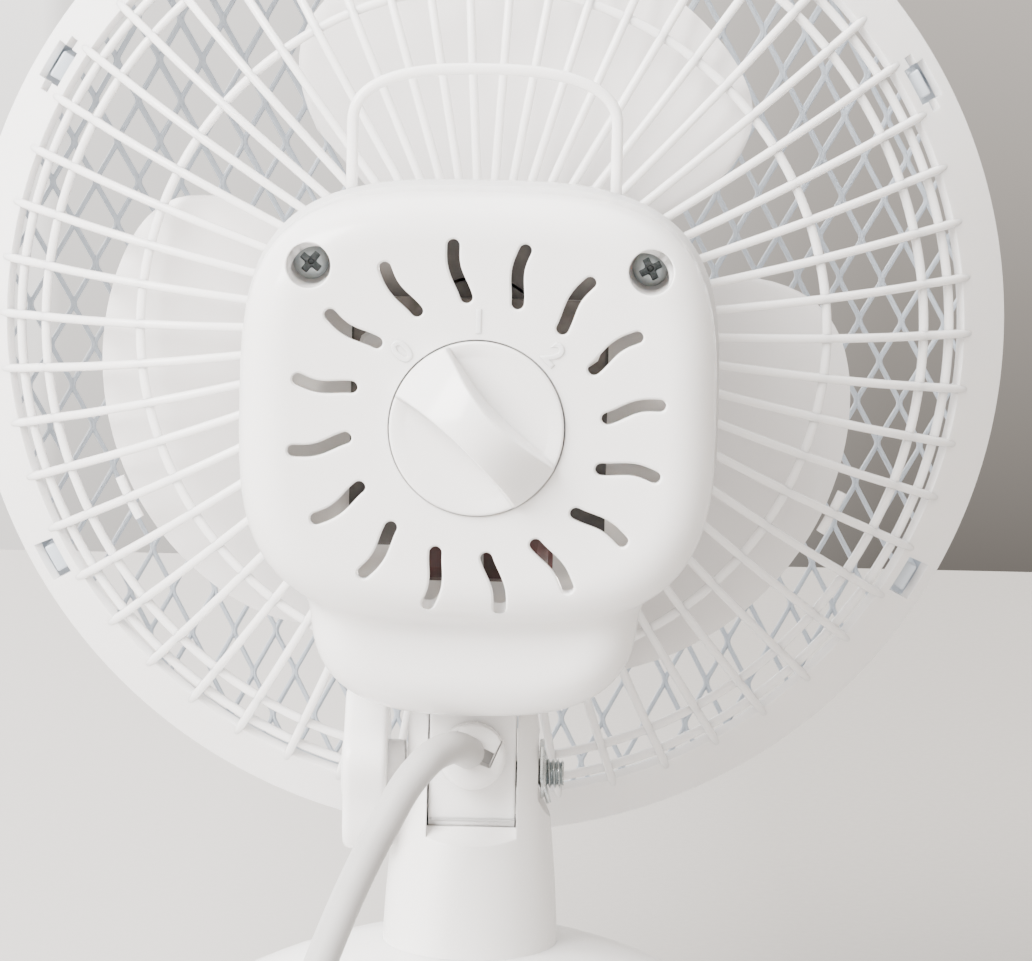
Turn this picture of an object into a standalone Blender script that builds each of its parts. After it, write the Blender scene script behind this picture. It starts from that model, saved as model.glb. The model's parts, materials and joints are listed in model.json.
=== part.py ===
"""Small two-speed table fan with a 180 mm guard, a tilting head on a round base, and its mains lead.

Units are metres. +Z is up and the fan blows towards +Y. The origin is on the standing surface,
under the middle of the base. Each sub-part is one object, parented to the empty of its body.
"""

import math

import bmesh
import bpy
from mathutils import Matrix, Vector

MM = 0.001

# Driving dimensions
AXIS_Z = 136 * MM  # height of the fan axis
PIVOT_Y = -5 * MM  # tilt axis, which runs along X
PIVOT_Z = 63 * MM
GUARD_R = 90 * MM  # outside of the guard
BASE_R = 70 * MM
BASE_TOP = 36.5 * MM
WALL = 2.2 * MM  # moulded walls
GAP = 0.3 * MM  # between pieces that touch

# Motor head: the rear cover and the front housing share one outline in XZ
COVER_REAR = -41 * MM
SEAM_Y = -16 * MM
HOUSING_FRONT = 5 * MM
SHELL_HALF_W = 39.3 * MM
SHELL_HALF_H = 35 * MM
SHELL_Z = AXIS_Z - 9 * MM
CHIN_HALF_W = 26.7 * MM
CHIN_HALF_H = 19.3 * MM
CHIN_Z = AXIS_Z - 41 * MM
CHIN_REAR = -33 * MM
KNOB_Z = AXIS_Z - 11.5 * MM
KNOB_R = 14 * MM
COVER_SCREW = (27.4 * MM, AXIS_Z + 14 * MM)
COVER_POSTS = [(side * COVER_SCREW[0], COVER_SCREW[1]) for side in (-1, 1)]
MOTOR_SCREW_X = 17 * MM
MOTOR_BOSSES = [(side * MOTOR_SCREW_X, AXIS_Z) for side in (-1, 1)]
GRILLE_SCREWS = [(sx * 15 * MM, AXIS_Z + dz * MM) for sx in (-1, 1) for dz in (15, -32)]

# Guard
SPOKES = 54
SPOKE_W = 1.7 * MM
RING_W = 1.6 * MM
RINGS = {"a": 58 * MM, "b": 75 * MM, "c": 79.6 * MM}
BAND_IN = 81.7 * MM
BAND_OUT = 89.1 * MM
WINDOW = (83.2 * MM, 87.2 * MM)
TAB = (84.3 * MM, 86.1 * MM)
CLIP_ANGLES = [math.radians(30 + 60 * k) for k in range(6)]

# Holes for screws and the tilt bolt
COVER_SCREW_HOLE = 1.75 * MM
COVER_SCREW_SEAT = COVER_REAR + 12 * MM
BOLT_HOLE = 2.75 * MM

# Shaft, rotor and blade
SHAFT_R = 2.5 * MM
SHAFT_BORE = 2.56 * MM
BLADE_R = 66.5 * MM
BLADE_MID = 22 * MM
HUB_R = 13 * MM

# Cord
CORD_R = 2.7 * MM
GLAND_X = 0.0
GLAND_Z = PIVOT_Z + 4.5 * MM
GLAND_BORE = 4 * MM
TONGUE_REAR = PIVOT_Y - 9 * MM
GLAND_REAR = TONGUE_REAR - 4.5 * MM
COIL_X, COIL_Y = -12 * MM, -113 * MM
COIL_MID_R = 29.5 * MM
COIL_BOTTOM = 1.2 * MM
COIL_IN = COIL_MID_R - 8.3 * MM
COIL_OUT = COIL_MID_R + 8.3 * MM
COIL_TOP = 12.2 * MM
PLUG_START = Vector((31.9 * MM, -125.1 * MM, 7.2 * MM))
PLUG_TURN = math.radians(50)

for old in list(bpy.data.objects):
    bpy.data.objects.remove(old, do_unlink=True)

fan_parts = bpy.data.collections.new("desk_fan")
cutters = bpy.data.collections.new("cutters")
bpy.context.scene.collection.children.link(fan_parts)
bpy.context.scene.collection.children.link(cutters)


def material(name, colour, roughness, metallic=0.0):
    mat = bpy.data.materials.new(name)
    mat.use_nodes = True
    shader = mat.node_tree.nodes["Principled BSDF"]
    shader.inputs["Base Color"].default_value = (*colour, 1)
    shader.inputs["Roughness"].default_value = roughness
    shader.inputs["Metallic"].default_value = metallic
    return mat


WHITE = material("white_abs", (0.83, 0.82, 0.80), 0.22)
MILKY = material("blade_pp", (0.74, 0.73, 0.72), 0.35)
MESH_GREY = material("mesh_grey", (0.50, 0.53, 0.57), 0.4)
CORD_PVC = material("cord_pvc", (0.72, 0.72, 0.71), 0.45)
ZINC = material("zinc", (0.45, 0.47, 0.47), 0.3, 1.0)
STEEL = material("steel", (0.35, 0.35, 0.36), 0.35, 1.0)
IRON = material("lamination", (0.07, 0.07, 0.075), 0.5, 0.6)
COIL_TAPE = material("coil_tape", (0.35, 0.03, 0.04), 0.45)
BRONZE = material("bronze", (0.45, 0.31, 0.18), 0.4, 1.0)
SWITCH_BLACK = material("switch_black", (0.03, 0.03, 0.03), 0.5)
RUBBER = material("rubber", (0.12, 0.12, 0.12), 0.8)
BRASS = material("brass", (0.70, 0.58, 0.36), 0.25, 1.0)


def empty(name, at=(0, 0, 0)):
    mark = bpy.data.objects.new(name, None)
    mark.location = at
    fan_parts.objects.link(mark)
    return mark


STAND = empty("stand")
HEAD = empty("head", (0, PIVOT_Y, PIVOT_Z))
ROTOR = empty("rotor", (0, 0, AXIS_Z))
DIAL = empty("dial", (0, 0, KNOB_Z))
CLAMP = empty("clamp", (0, PIVOT_Y, PIVOT_Z))


# Making objects -------------------------------------------------------------------------------

def new_object(name, data, at=(0, 0, 0), rotation=(0, 0, 0)):
    """An object in the cutters' collection; part() moves it to the fan's."""
    obj = bpy.data.objects.new(name, data)
    obj.location = at
    obj.rotation_euler = rotation
    obj.hide_render = True
    obj.display_type = "WIRE"
    cutters.objects.link(obj)
    return obj


def part(obj, name, mat, body):
    """Makes an object a named sub-part of a body."""
    obj.name = name
    obj.data.name = name
    obj.hide_render = False
    obj.display_type = "TEXTURED"
    cutters.objects.unlink(obj)
    fan_parts.objects.link(obj)
    obj.parent = body
    obj.location = Vector(obj.location) - Vector(body.location)
    obj.data.materials.append(mat)
    if obj.type == "MESH":
        obj.data.shade_smooth()
        obj.data.set_sharp_from_angle(angle=math.radians(35))
    return obj


def mesh_object(bm, at=(0, 0, 0), rotation=(0, 0, 0)):
    bmesh.ops.recalc_face_normals(bm, faces=bm.faces)
    mesh = bpy.data.meshes.new("shape")
    bm.to_mesh(mesh)
    bm.free()
    return new_object("shape", mesh, at, rotation)


AIM = {"X": (0, math.pi / 2, 0), "Y": (-math.pi / 2, 0, 0), "Z": (0, 0, 0)}


def cylinder(radius, low, high, centre, axis="Y", steps=24):
    """A cylinder from low to high along an axis; centre is its place in the other two."""
    bm = bmesh.new()
    bmesh.ops.create_cone(
        bm, cap_ends=True, segments=steps, radius1=radius, radius2=radius, depth=high - low
    )
    mid = (low + high) / 2
    at = {"X": (mid, *centre), "Y": (centre[0], mid, centre[1]), "Z": (*centre, mid)}[axis]
    return mesh_object(bm, at, AIM[axis])


def box(low, high, bevel=0.0, steps=2):
    """A box between two corners, with its edges rounded when bevel is given."""
    low, high = Vector(low), Vector(high)
    bm = bmesh.new()
    bmesh.ops.create_cube(bm, size=1)
    bmesh.ops.scale(bm, vec=high - low, verts=bm.verts)
    if bevel:
        bmesh.ops.bevel(
            bm, geom=bm.edges[:], offset=bevel, segments=steps, profile=0.5, affect="EDGES"
        )
    return mesh_object(bm, (low + high) / 2)


def turned(profile, at, axis="Z", steps=32, closed=False):
    """A turned solid; the profile's (radius, height) pairs run down its outer side."""
    bm = bmesh.new()
    points = [bm.verts.new((r, 0, z)) for r, z in profile]
    pairs = list(zip(points, points[1:]))
    if closed:
        pairs.append((points[-1], points[0]))
    for pair in pairs:
        bm.edges.new(pair)
    mesh = bpy.data.meshes.new("turned")
    bm.to_mesh(mesh)
    bm.free()
    obj = new_object("turned", mesh, at, AIM[axis])
    screw = obj.modifiers.new("turn", "SCREW")
    screw.steps = steps
    screw.render_steps = steps
    screw.use_merge_vertices = True
    screw.merge_threshold = 0.00001
    return obj


def prism(outline, rear, front, rear_bevel=0.0, front_bevel=0.0, steps=3, axis="Y"):
    """An outline in XZ (or YZ, for axis X) extruded along the axis, with its rims rounded."""
    def place(point, depth):
        return (depth, *point) if axis == "X" else (point[0], depth, point[1])

    bm = bmesh.new()
    back = [bm.verts.new(place(p, rear)) for p in outline]
    fore = [bm.verts.new(place(p, front)) for p in outline]
    caps = [bm.faces.new(back), bm.faces.new(fore)]
    for i in range(len(outline)):
        j = (i + 1) % len(outline)
        bm.faces.new((back[i], back[j], fore[j], fore[i]))
    bmesh.ops.recalc_face_normals(bm, faces=bm.faces)
    for cap, width in zip(caps, (rear_bevel, front_bevel)):
        if width:
            bmesh.ops.bevel(
                bm, geom=cap.edges[:], offset=width, segments=steps, profile=0.5, affect="EDGES"
            )
    return mesh_object(bm)


def loft(rings, at=(0, 0, 0), rotation=(0, 0, 0)):
    """A closed solid through rings of equally many points."""
    bm = bmesh.new()
    loops = [[bm.verts.new(p) for p in ring] for ring in rings]
    bm.faces.new(loops[0])
    bm.faces.new(loops[-1])
    for one, two in zip(loops, loops[1:]):
        for i in range(len(one)):
            j = (i + 1) % len(one)
            bm.faces.new((one[i], one[j], two[j], two[i]))
    return mesh_object(bm, at, rotation)


def tube(points, radius, resolution=2):
    """A round tube along points, as a curve."""
    curve = bpy.data.curves.new("tube", "CURVE")
    curve.dimensions = "3D"
    curve.bevel_depth = radius
    curve.bevel_resolution = resolution
    curve.use_fill_caps = True
    line = curve.splines.new("POLY")
    line.points.add(len(points) - 1)
    for spot, p in zip(line.points, points):
        spot.co = (*p, 1)
    return new_object("tube", curve)


def tube_mesh(points, radius, resolution=0):
    """The same as a mesh with its caps welded, for a tube that a Boolean joins."""
    curve = tube(points, radius, resolution)
    bpy.context.view_layer.update()
    graph = bpy.context.evaluated_depsgraph_get()
    mesh = bpy.data.meshes.new_from_object(curve.evaluated_get(graph))
    bm = bmesh.new()
    bm.from_mesh(mesh)
    bmesh.ops.remove_doubles(bm, verts=bm.verts, dist=0.000001)
    obj = mesh_object(bm)
    obj.matrix_world = curve.matrix_world
    bpy.data.objects.remove(curve, do_unlink=True)
    return obj


def boolean(target, tool, operation):
    mod = target.modifiers.new(operation.lower(), "BOOLEAN")
    mod.operation = operation
    mod.object = tool
    return target


def join(target, *tools):
    for tool in tools:
        boolean(target, tool, "UNION")
    return target


def cut(target, *tools):
    for tool in tools:
        boolean(target, tool, "DIFFERENCE")
    return target


def superellipse(half_w, half_h, mid_z, power, count, mid_x=0.0):
    """Points of a rounded rectangle in XZ, anticlockwise from +X."""
    points = []
    for i in range(count):
        a = 2 * math.pi * i / count
        c, s = math.cos(a), math.sin(a)
        scale = (abs(c) ** power + abs(s) ** power) ** (-1 / power)
        points.append((mid_x + half_w * c * scale, mid_z + half_h * s * scale))
    return points


def smooth_path(route, per_span):
    """A Catmull-Rom curve through the route's points, with per_span points between each two."""
    points = [Vector(p) for p in route]
    ends = [points[0] * 2 - points[1]] + points + [points[-1] * 2 - points[-2]]
    path = []
    for a, b, c, d in zip(ends, ends[1:], ends[2:], ends[3:]):
        for i in range(per_span):
            t = i / per_span
            path.append(
                0.5 * (2 * b + (c - a) * t + (2 * a - 5 * b + 4 * c - d) * t ** 2
                       + (3 * b - a - 3 * c + d) * t ** 3)
            )
    path.append(points[-1])
    return path


# Base and neck --------------------------------------------------------------------------------

PLATE_LOW, PLATE_HIGH = 2.6 * MM, 4.8 * MM
SKIRT_TOP = 6 * MM
NECK_HOLE_R = 15.4 * MM
FLANGE_R = 21 * MM
BOSS_RING = 45 * MM
BOSS_TOP = 19.8 * MM
NECK_SCREW_RING = 16.5 * MM
FOOT_RING = 57 * MM


def on_ring(radius, count, first, mid=(0.0, 0.0)):
    """Points evenly round a circle in XY, from the first angle in degrees."""
    turns = [math.radians(first + 360 * k / count) for k in range(count)]
    return [(mid[0] + radius * math.cos(a), mid[1] + radius * math.sin(a)) for a in turns]


BOSSES = on_ring(BOSS_RING, 3, 90)
NECK_SCREWS = on_ring(NECK_SCREW_RING, 3, 30, (0.0, PIVOT_Y))
FEET = on_ring(FOOT_RING, 4, 45)


def dome_height(r):
    return SKIRT_TOP + (BASE_TOP - SKIRT_TOP) * (1 - (r / BASE_R) ** 1.9)


def base_shell():
    radii = [BASE_R * f for f in (0, 0.3, 0.6, 0.8, 0.93, 0.985, 1)]
    profile = [(r, dome_height(r)) for r in radii] + [(BASE_R, PLATE_LOW - 0.2 * MM)]
    shell = turned(profile, (0, 0, 0), steps=36)
    wall = shell.modifiers.new("wall", "SOLIDIFY")
    wall.thickness = WALL
    wall.offset = -1
    for spot in BOSSES:
        join(shell, cylinder(4 * MM, PLATE_HIGH + GAP, BOSS_TOP, spot, "Z", 16))
    cut(shell, cylinder(NECK_HOLE_R, 20 * MM, 45 * MM, (0, PIVOT_Y), "Z", 32))
    for spot in BOSSES:
        cut(shell, cylinder(1.55 * MM, 3 * MM, 16 * MM, spot, "Z", 8))
    part(shell, "base_shell", WHITE, STAND)


def base_plate():
    plate = cylinder(67.3 * MM, PLATE_LOW, PLATE_HIGH, (0, 0), "Z", 36)
    for spot in BOSSES + NECK_SCREWS:
        cut(plate, cylinder(1.7 * MM, 1 * MM, 7 * MM, spot, "Z", 8))
    part(plate, "base_plate", WHITE, STAND)


def base_feet():
    height = PLATE_LOW - GAP
    rim = 0.5 * MM
    for k, spot in enumerate(FEET):
        profile = [(0, height), (6 * MM, height), (6 * MM, rim), (6 * MM - rim, 0), (0, 0)]
        part(turned(profile, (*spot, 0), steps=12), f"rubber_foot_{k + 1}", RUBBER, STAND)


def screw_shape(head_r, shank_r, head_h, length, at, axis, steps=10):
    """A screw from its head's outside, at height 0, up to the end of its shank."""
    profile = [
        (0, length), (shank_r, length), (shank_r, head_h), (head_r, head_h),
        (head_r, 0.3 * head_h), (0.8 * head_r, 0), (0, 0),
    ]
    return turned(profile, at, axis, steps)


def base_screws():
    low = 1.2 * MM
    for k, spot in enumerate(BOSSES):
        screw = screw_shape(2.8 * MM, 1.25 * MM, 1.1 * MM, 13.5 * MM, (*spot, low), "Z")
        part(screw, f"plate_screw_{k + 1}", STEEL, STAND)
    for k, spot in enumerate(NECK_SCREWS):
        screw = screw_shape(2.8 * MM, 1.25 * MM, 1.1 * MM, 10 * MM, (*spot, low), "Z")
        part(screw, f"neck_screw_{k + 1}", STEEL, STAND)


def neck():
    # Radii against heights above the pivot
    outer = [
        (0, 13.2), (8.5, 13.2), (10.2, 12), (10.9, 9), (11.6, 3), (12.3, -1), (12.9, -5),
        (13.6, -12), (14.2, -19), (14.8, -30), (15, -42), (15, -49.9), (21, -49.9),
        (21, -57.9), (0, -57.9),
    ]
    profile = [(r * MM, z * MM) for r, z in outer]
    column = turned(profile, (0, PIVOT_Y, PIVOT_Z), steps=32)
    reach = 25 * MM
    crown = box((-reach, PIVOT_Y - reach, PIVOT_Z), (reach, PIVOT_Y + reach, PIVOT_Z + reach))
    cut(crown, cylinder(12.6 * MM, -2 * reach, 2 * reach, (PIVOT_Y, PIVOT_Z), "X", 28))
    slot_half = 7.7 * MM
    notch = box(
        (-slot_half, PIVOT_Y - reach, PIVOT_Z - 9 * MM),
        (slot_half, PIVOT_Y + reach, PIVOT_Z + reach),
    )
    pocket = box(
        (-slot_half, PIVOT_Y - 10.9 * MM, PIVOT_Z - 13.5 * MM),
        (slot_half, PIVOT_Y + 10.9 * MM, PIVOT_Z + 1 * MM),
    )
    hollow = cylinder(11.5 * MM, 4 * MM, PIVOT_Z - 17 * MM, (0, PIVOT_Y), "Z", 20)
    bolt_hole = cylinder(BOLT_HOLE, -reach, reach, (PIVOT_Y, PIVOT_Z), "X", 16)
    cut(column, crown, notch, pocket, hollow, bolt_hole)
    for side in (-1, 1):
        ends = sorted((side * 10.95 * MM, side * 20 * MM))
        cut(column, cylinder(7.2 * MM, *ends, (PIVOT_Y, PIVOT_Z), "X", 16))
    for spot in NECK_SCREWS:
        cut(column, cylinder(1.55 * MM, 4 * MM, 12 * MM, spot, "Z", 8))
    part(column, "neck_column", WHITE, STAND)


def clip_nut():
    half_y, half_z = 4.5 * MM, 5.2 * MM
    nut = box(
        (11.2 * MM, PIVOT_Y - half_y, PIVOT_Z - half_z),
        (12.3 * MM, PIVOT_Y + half_y, PIVOT_Z + half_z), 0.3 * MM, 1,
    )
    cut(nut, cylinder(2.65 * MM, 10 * MM, 14 * MM, (PIVOT_Y, PIVOT_Z), "X", 16))
    part(nut, "clip_nut", STEEL, STAND)


def tilt_clamp():
    outline = []
    for k in range(30):
        a = 2 * math.pi * k / 30
        r = (13.3 + math.cos(5 * (a - math.pi / 2))) * MM
        outline.append((PIVOT_Y + r * math.cos(a), PIVOT_Z + r * math.sin(a)))
    knob = prism(outline, -21.5 * MM, -14.2 * MM, 1 * MM, 1 * MM, 2, "X")
    join(knob, cylinder(5.2 * MM, -15 * MM, -11.3 * MM, (PIVOT_Y, PIVOT_Z), "X", 24))
    cut(knob, cylinder(2.65 * MM, -18 * MM, -10 * MM, (PIVOT_Y, PIVOT_Z), "X", 16))
    part(knob, "tilt_knob", WHITE, CLAMP)
    bolt = cylinder(2.45 * MM, -17.7 * MM, 15.3 * MM, (PIVOT_Y, PIVOT_Z), "X", 16)
    part(bolt, "tilt_bolt", ZINC, CLAMP)


# Motor head -----------------------------------------------------------------------------------

def shell_prism(inset, rear, front, **bevels):
    outline = superellipse(SHELL_HALF_W - inset, SHELL_HALF_H - inset, SHELL_Z, 3.3, 40)
    return prism(outline, rear, front, **bevels)


def chin_prism(inset, rear, front, drop=0.0, **bevels):
    outline = superellipse(CHIN_HALF_W - inset, CHIN_HALF_H - inset - drop, CHIN_Z, 2.8, 32)
    return prism(outline, rear, front, **bevels)


def handle_path():
    """The carrying handle's loop: two straight legs under a flat rounded arch."""
    half, spring, rise = 21.7 * MM, AXIS_Z + 36.5 * MM, 8.5 * MM
    depth = SEAM_Y + 1.6 * MM
    arch = []
    for k in range(15):
        a = math.pi * k / 14
        c, s = math.cos(a), math.sin(a)
        scale = (abs(c) ** 2.6 + s ** 2.6) ** (-1 / 2.6)
        arch.append((half * c * scale, depth, spring + rise * s * scale))
    foot = AXIS_Z + 23 * MM
    return [(half, depth, foot)] + arch + [(-half, depth, foot)]


def motor_housing():
    rear = SEAM_Y + GAP / 2
    inner = HOUSING_FRONT - WALL
    narrower = 1.5 * MM  # the lower front edge stays clear of the tilt knob
    shell = shell_prism(0, rear, HOUSING_FRONT, front_bevel=3 * MM, steps=2)
    join(shell, chin_prism(0.5 * MM, rear, HOUSING_FRONT, narrower, front_bevel=3 * MM, steps=2))
    cut(shell, shell_prism(WALL, rear - 5 * MM, inner))
    cut(shell, chin_prism(0.5 * MM + WALL, rear - 5 * MM, inner, narrower))
    into_front = inner + 1 * MM
    for post in COVER_POSTS:
        join(shell, cylinder(4.4 * MM, rear, into_front, post, steps=16))
    for boss in MOTOR_BOSSES:
        join(shell, cylinder(3.6 * MM, -3.3 * MM, into_front, boss, steps=12))
    for spot in GRILLE_SCREWS:
        join(shell, cylinder(3.2 * MM, -1.5 * MM, into_front, spot, steps=12))
    tongue = box(
        (-7.2 * MM, TONGUE_REAR, PIVOT_Z - 7 * MM),
        (7.2 * MM, PIVOT_Y + 9 * MM, AXIS_Z - 57.5 * MM), 0.6 * MM, 1,
    )
    join(shell, tongue, tube_mesh(handle_path(), 1 * MM))
    cut(shell, cylinder(6.2 * MM, 0, 8 * MM, (0, AXIS_Z), steps=28))
    for post in COVER_POSTS:
        cut(shell, cylinder(COVER_SCREW_HOLE, rear - 1 * MM, -4 * MM, post, steps=10))
    for boss in MOTOR_BOSSES:
        cut(shell, cylinder(1.65 * MM, -4 * MM, 1.5 * MM, boss, steps=10))
    for spot in GRILLE_SCREWS:
        cut(shell, cylinder(1.5 * MM, -2 * MM, 7 * MM, spot, steps=10))
    cut(shell, cylinder(BOLT_HOLE, -10 * MM, 10 * MM, (PIVOT_Y, PIVOT_Z), "X", 16))
    gland = (GLAND_X, GLAND_Z)
    cut(shell, cylinder(GLAND_BORE, TONGUE_REAR - 1 * MM, -8.4 * MM, gland, steps=20))
    way_half = 3 * MM  # half the width of the leads' way up the tongue
    lead_way = box(
        (GLAND_X - way_half, -12.8 * MM, GLAND_Z - 1 * MM),
        (GLAND_X + way_half, -8.2 * MM, AXIS_Z - 50 * MM),
    )
    cut(shell, lead_way)
    part(shell, "motor_housing", WHITE, HEAD)


def vent_slot(turn):
    """One S-shaped slot cutter, at an angle round the knob's axis."""
    middle, half_length, half_width = 25.3 * MM, 4.25 * MM, 1.05 * MM
    lean, sway, count = 0.07, 0.47 * MM, 4
    rail = []
    for k in range(count + 1):
        f = 2 * k / count - 1  # -1 at the slot's inner end, 1 at its outer end
        swing = sway * (math.cos(0.54 - 2.26 * f) - 0.86)
        rail.append(Vector((half_length * f, lean * half_length * f + swing)))
    sides = ([], [])
    for k, p in enumerate(rail):
        along = (rail[min(k + 1, count)] - rail[max(k - 1, 0)]).normalized()
        across = Vector((-along.y, along.x)) * half_width
        sides[0].append(p + across)
        sides[1].append(p - across)
    tips = [rail[-1] + Vector((half_width, 0)), rail[0] - Vector((half_width, 0))]
    loop = sides[1] + [tips[0]] + sides[0][::-1] + [tips[1]]
    turned_by = Matrix.Rotation(turn, 2)
    outline = []
    for p in loop:
        q = turned_by @ (p + Vector((middle, 0)))
        outline.append((q.x, KNOB_Z + q.y))
    return prism(outline, COVER_REAR - 2 * MM, COVER_REAR + 5 * MM)


def rear_cover():
    front = SEAM_Y - GAP / 2
    beyond = front + 5 * MM
    cover = shell_prism(0, COVER_REAR, front, rear_bevel=9 * MM, steps=3)
    join(cover, chin_prism(0, CHIN_REAR, front, rear_bevel=8 * MM, steps=3))
    cut(cover, shell_prism(WALL, COVER_REAR + WALL, beyond, rear_bevel=7 * MM, steps=1))
    cut(cover, chin_prism(WALL, CHIN_REAR + WALL, beyond, rear_bevel=6 * MM, steps=1))
    for post in COVER_POSTS:
        join(cover, cylinder(5.2 * MM, COVER_REAR + 2 * MM, front, post, steps=16))
    outside = COVER_REAR - 2 * MM
    dial = (0, KNOB_Z)
    join(cover, cylinder(17 * MM, COVER_REAR + 1 * MM, COVER_REAR + 4.6 * MM, dial, steps=28))
    cut(cover, cylinder(KNOB_R + 0.4 * MM, outside, COVER_REAR + 2.3 * MM, dial, steps=40))
    cut(cover, cylinder(4 * MM, COVER_REAR, COVER_REAR + 6 * MM, dial, steps=20))
    for post in COVER_POSTS:
        cut(cover, cylinder(3.6 * MM, outside, COVER_SCREW_SEAT, post, steps=16))
        cut(cover, cylinder(COVER_SCREW_HOLE, COVER_SCREW_SEAT - GAP, front + 1 * MM, post, steps=10))
    for k in range(16):
        cut(cover, vent_slot(math.radians(8.6 + 22.5 * k)))
    part(cover, "rear_cover", WHITE, HEAD)
    for name, (x, z) in zip(("cover_screw_left", "cover_screw_right"), COVER_POSTS):
        head_h = 2 * MM
        at = (x, COVER_SCREW_SEAT - GAP - head_h, z)
        screw = screw_shape(3 * MM, 1.45 * MM, head_h, 22.5 * MM, at, "Y", 14)
        part(screw, name, ZINC, HEAD)


def speed_dial():
    disc_rear = COVER_REAR - 1 * MM
    disc_front = COVER_REAR + 2 * MM
    knob = cylinder(KNOB_R, disc_rear, disc_front, (0, KNOB_Z), steps=48)
    # The grip, along u from the rim at 135 degrees to the rim opposite, is a waisted ridge
    rings = []
    half_long = 13.6
    for k in range(11):
        f = k / 5 - 1
        u = half_long * f
        half = 4.1 + 1.6 * f ** 2 + 0.7 * f
        sway = 1.3 * (1 - f * f)
        crest = 0.6 + 9.4 * (1 - f * f) ** 0.75
        rings.append([
            (u * MM, 0.5 * MM, (sway - half) * MM),
            (u * MM, -0.5 * crest * MM, (sway - 0.72 * half) * MM),
            (u * MM, -crest * MM, (sway - 0.45 * half) * MM),
            (u * MM, -crest * MM, (sway + 0.45 * half) * MM),
            (u * MM, -0.5 * crest * MM, (sway + 0.72 * half) * MM),
            (u * MM, 0.5 * MM, (sway + half) * MM),
        ])
    ridge = loft(rings, (0, disc_rear, KNOB_Z), (0, math.radians(-135), 0))
    clip_ring = cylinder(KNOB_R - 0.3 * MM, COVER_REAR - 15 * MM, COVER_REAR, (0, KNOB_Z), steps=48)
    boolean(ridge, clip_ring, "INTERSECT")
    join(knob, ridge)
    cut(knob, cylinder(3.2 * MM, COVER_REAR - 3.4 * MM, COVER_REAR + 4 * MM, (0, KNOB_Z), steps=20))
    part(knob, "speed_knob", WHITE, DIAL)
    spindle = cylinder(2.9 * MM, COVER_REAR - 3 * MM, COVER_REAR + 9 * MM, (0, KNOB_Z), steps=20)
    part(spindle, "switch_spindle", SWITCH_BLACK, DIAL)


def switch():
    rear, front = COVER_REAR + 5.2 * MM, COVER_REAR + 12.4 * MM
    body = box(
        (-11 * MM, rear, KNOB_Z - 10 * MM), (11 * MM, front, KNOB_Z + 10 * MM), 0.6 * MM, 1
    )
    cut(body, cylinder(3.2 * MM, rear - 1 * MM, COVER_REAR + 9.4 * MM, (0, KNOB_Z), steps=20))
    part(body, "switch_body", SWITCH_BLACK, HEAD)


# Motor ----------------------------------------------------------------------------------------

STACK_REAR, STACK_FRONT = -21 * MM, -7 * MM


def motor():
    centre = (0, AXIS_Z)
    stator = box(
        (-21 * MM, STACK_REAR, AXIS_Z - 33 * MM), (21 * MM, STACK_FRONT, AXIS_Z + 18 * MM)
    )
    window = box(
        (-13.5 * MM, STACK_REAR - 1 * MM, AXIS_Z - 22.6 * MM),
        (13.5 * MM, STACK_FRONT + 1 * MM, AXIS_Z - 14 * MM),
    )
    cut(stator, window)
    cut(stator, cylinder(11.6 * MM, STACK_REAR - 1 * MM, STACK_FRONT + 1 * MM, centre, steps=40))
    coil = box(
        (-12.6 * MM, -24.3 * MM, AXIS_Z - 38.6 * MM),
        (12.6 * MM, -3.7 * MM, AXIS_Z - 17.4 * MM), 2.5 * MM, 2,
    )
    core_way = box(
        (-15 * MM, STACK_REAR - 0.4 * MM, AXIS_Z - 33.4 * MM),
        (15 * MM, STACK_FRONT + 0.4 * MM, AXIS_Z - 22.2 * MM),
    )
    cut(coil, core_way)
    front_bracket = box(
        (-20.5 * MM, -5.9 * MM, AXIS_Z - 8 * MM), (20.5 * MM, -4.2 * MM, AXIS_Z + 8 * MM)
    )
    join(front_bracket, cylinder(7 * MM, -5.9 * MM, 2.2 * MM, centre, steps=20))
    cut(front_bracket, cylinder(5.06 * MM, -4.4 * MM, 4 * MM, centre, steps=20))
    cut(front_bracket, cylinder(3.2 * MM, -8 * MM, 0, centre, steps=20))
    rear_bracket = box(
        (-20.5 * MM, -23.8 * MM, AXIS_Z - 8 * MM), (20.5 * MM, -22.1 * MM, AXIS_Z + 8 * MM)
    )
    join(rear_bracket, cylinder(7 * MM, -27.6 * MM, -22.1 * MM, centre, steps=20))
    cut(rear_bracket, cylinder(5.06 * MM, -30 * MM, -20 * MM, centre, steps=20))
    for side, spot in zip(("left", "right"), MOTOR_BOSSES):
        for piece in (stator, front_bracket, rear_bracket):
            cut(piece, cylinder(1.8 * MM, -30 * MM, 0, spot, steps=10))
        at = (spot[0], -25.5 * MM, spot[1])
        screw = screw_shape(2.8 * MM, 1.45 * MM, 1.4 * MM, 26.3 * MM, at, "Y")
        part(screw, f"motor_screw_{side}", STEEL, HEAD)
    part(stator, "stator_core", IRON, HEAD)
    part(coil, "field_coil", COIL_TAPE, HEAD)
    part(front_bracket, "front_bearing_bracket", STEEL, HEAD)
    part(rear_bracket, "rear_bearing_bracket", STEEL, HEAD)
    for name, low, high in (("front", -4.1, 2.0), ("rear", -27.4, -23)):
        bush = cylinder(5 * MM, low * MM, high * MM, centre, steps=20)
        cut(bush, cylinder(SHAFT_BORE, -35 * MM, 10 * MM, centre, steps=24))
        part(bush, f"{name}_bearing", BRONZE, HEAD)


def rotor():
    centre = (0, AXIS_Z)
    core = cylinder(11.1 * MM, STACK_REAR, STACK_FRONT, centre, steps=36)
    cut(core, cylinder(SHAFT_BORE, -35 * MM, 10 * MM, centre, steps=32))
    part(core, "rotor_core", IRON, ROTOR)
    part(cylinder(SHAFT_R, -27.2 * MM, 25.2 * MM, centre, steps=24), "rotor_shaft", STEEL, ROTOR)


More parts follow.
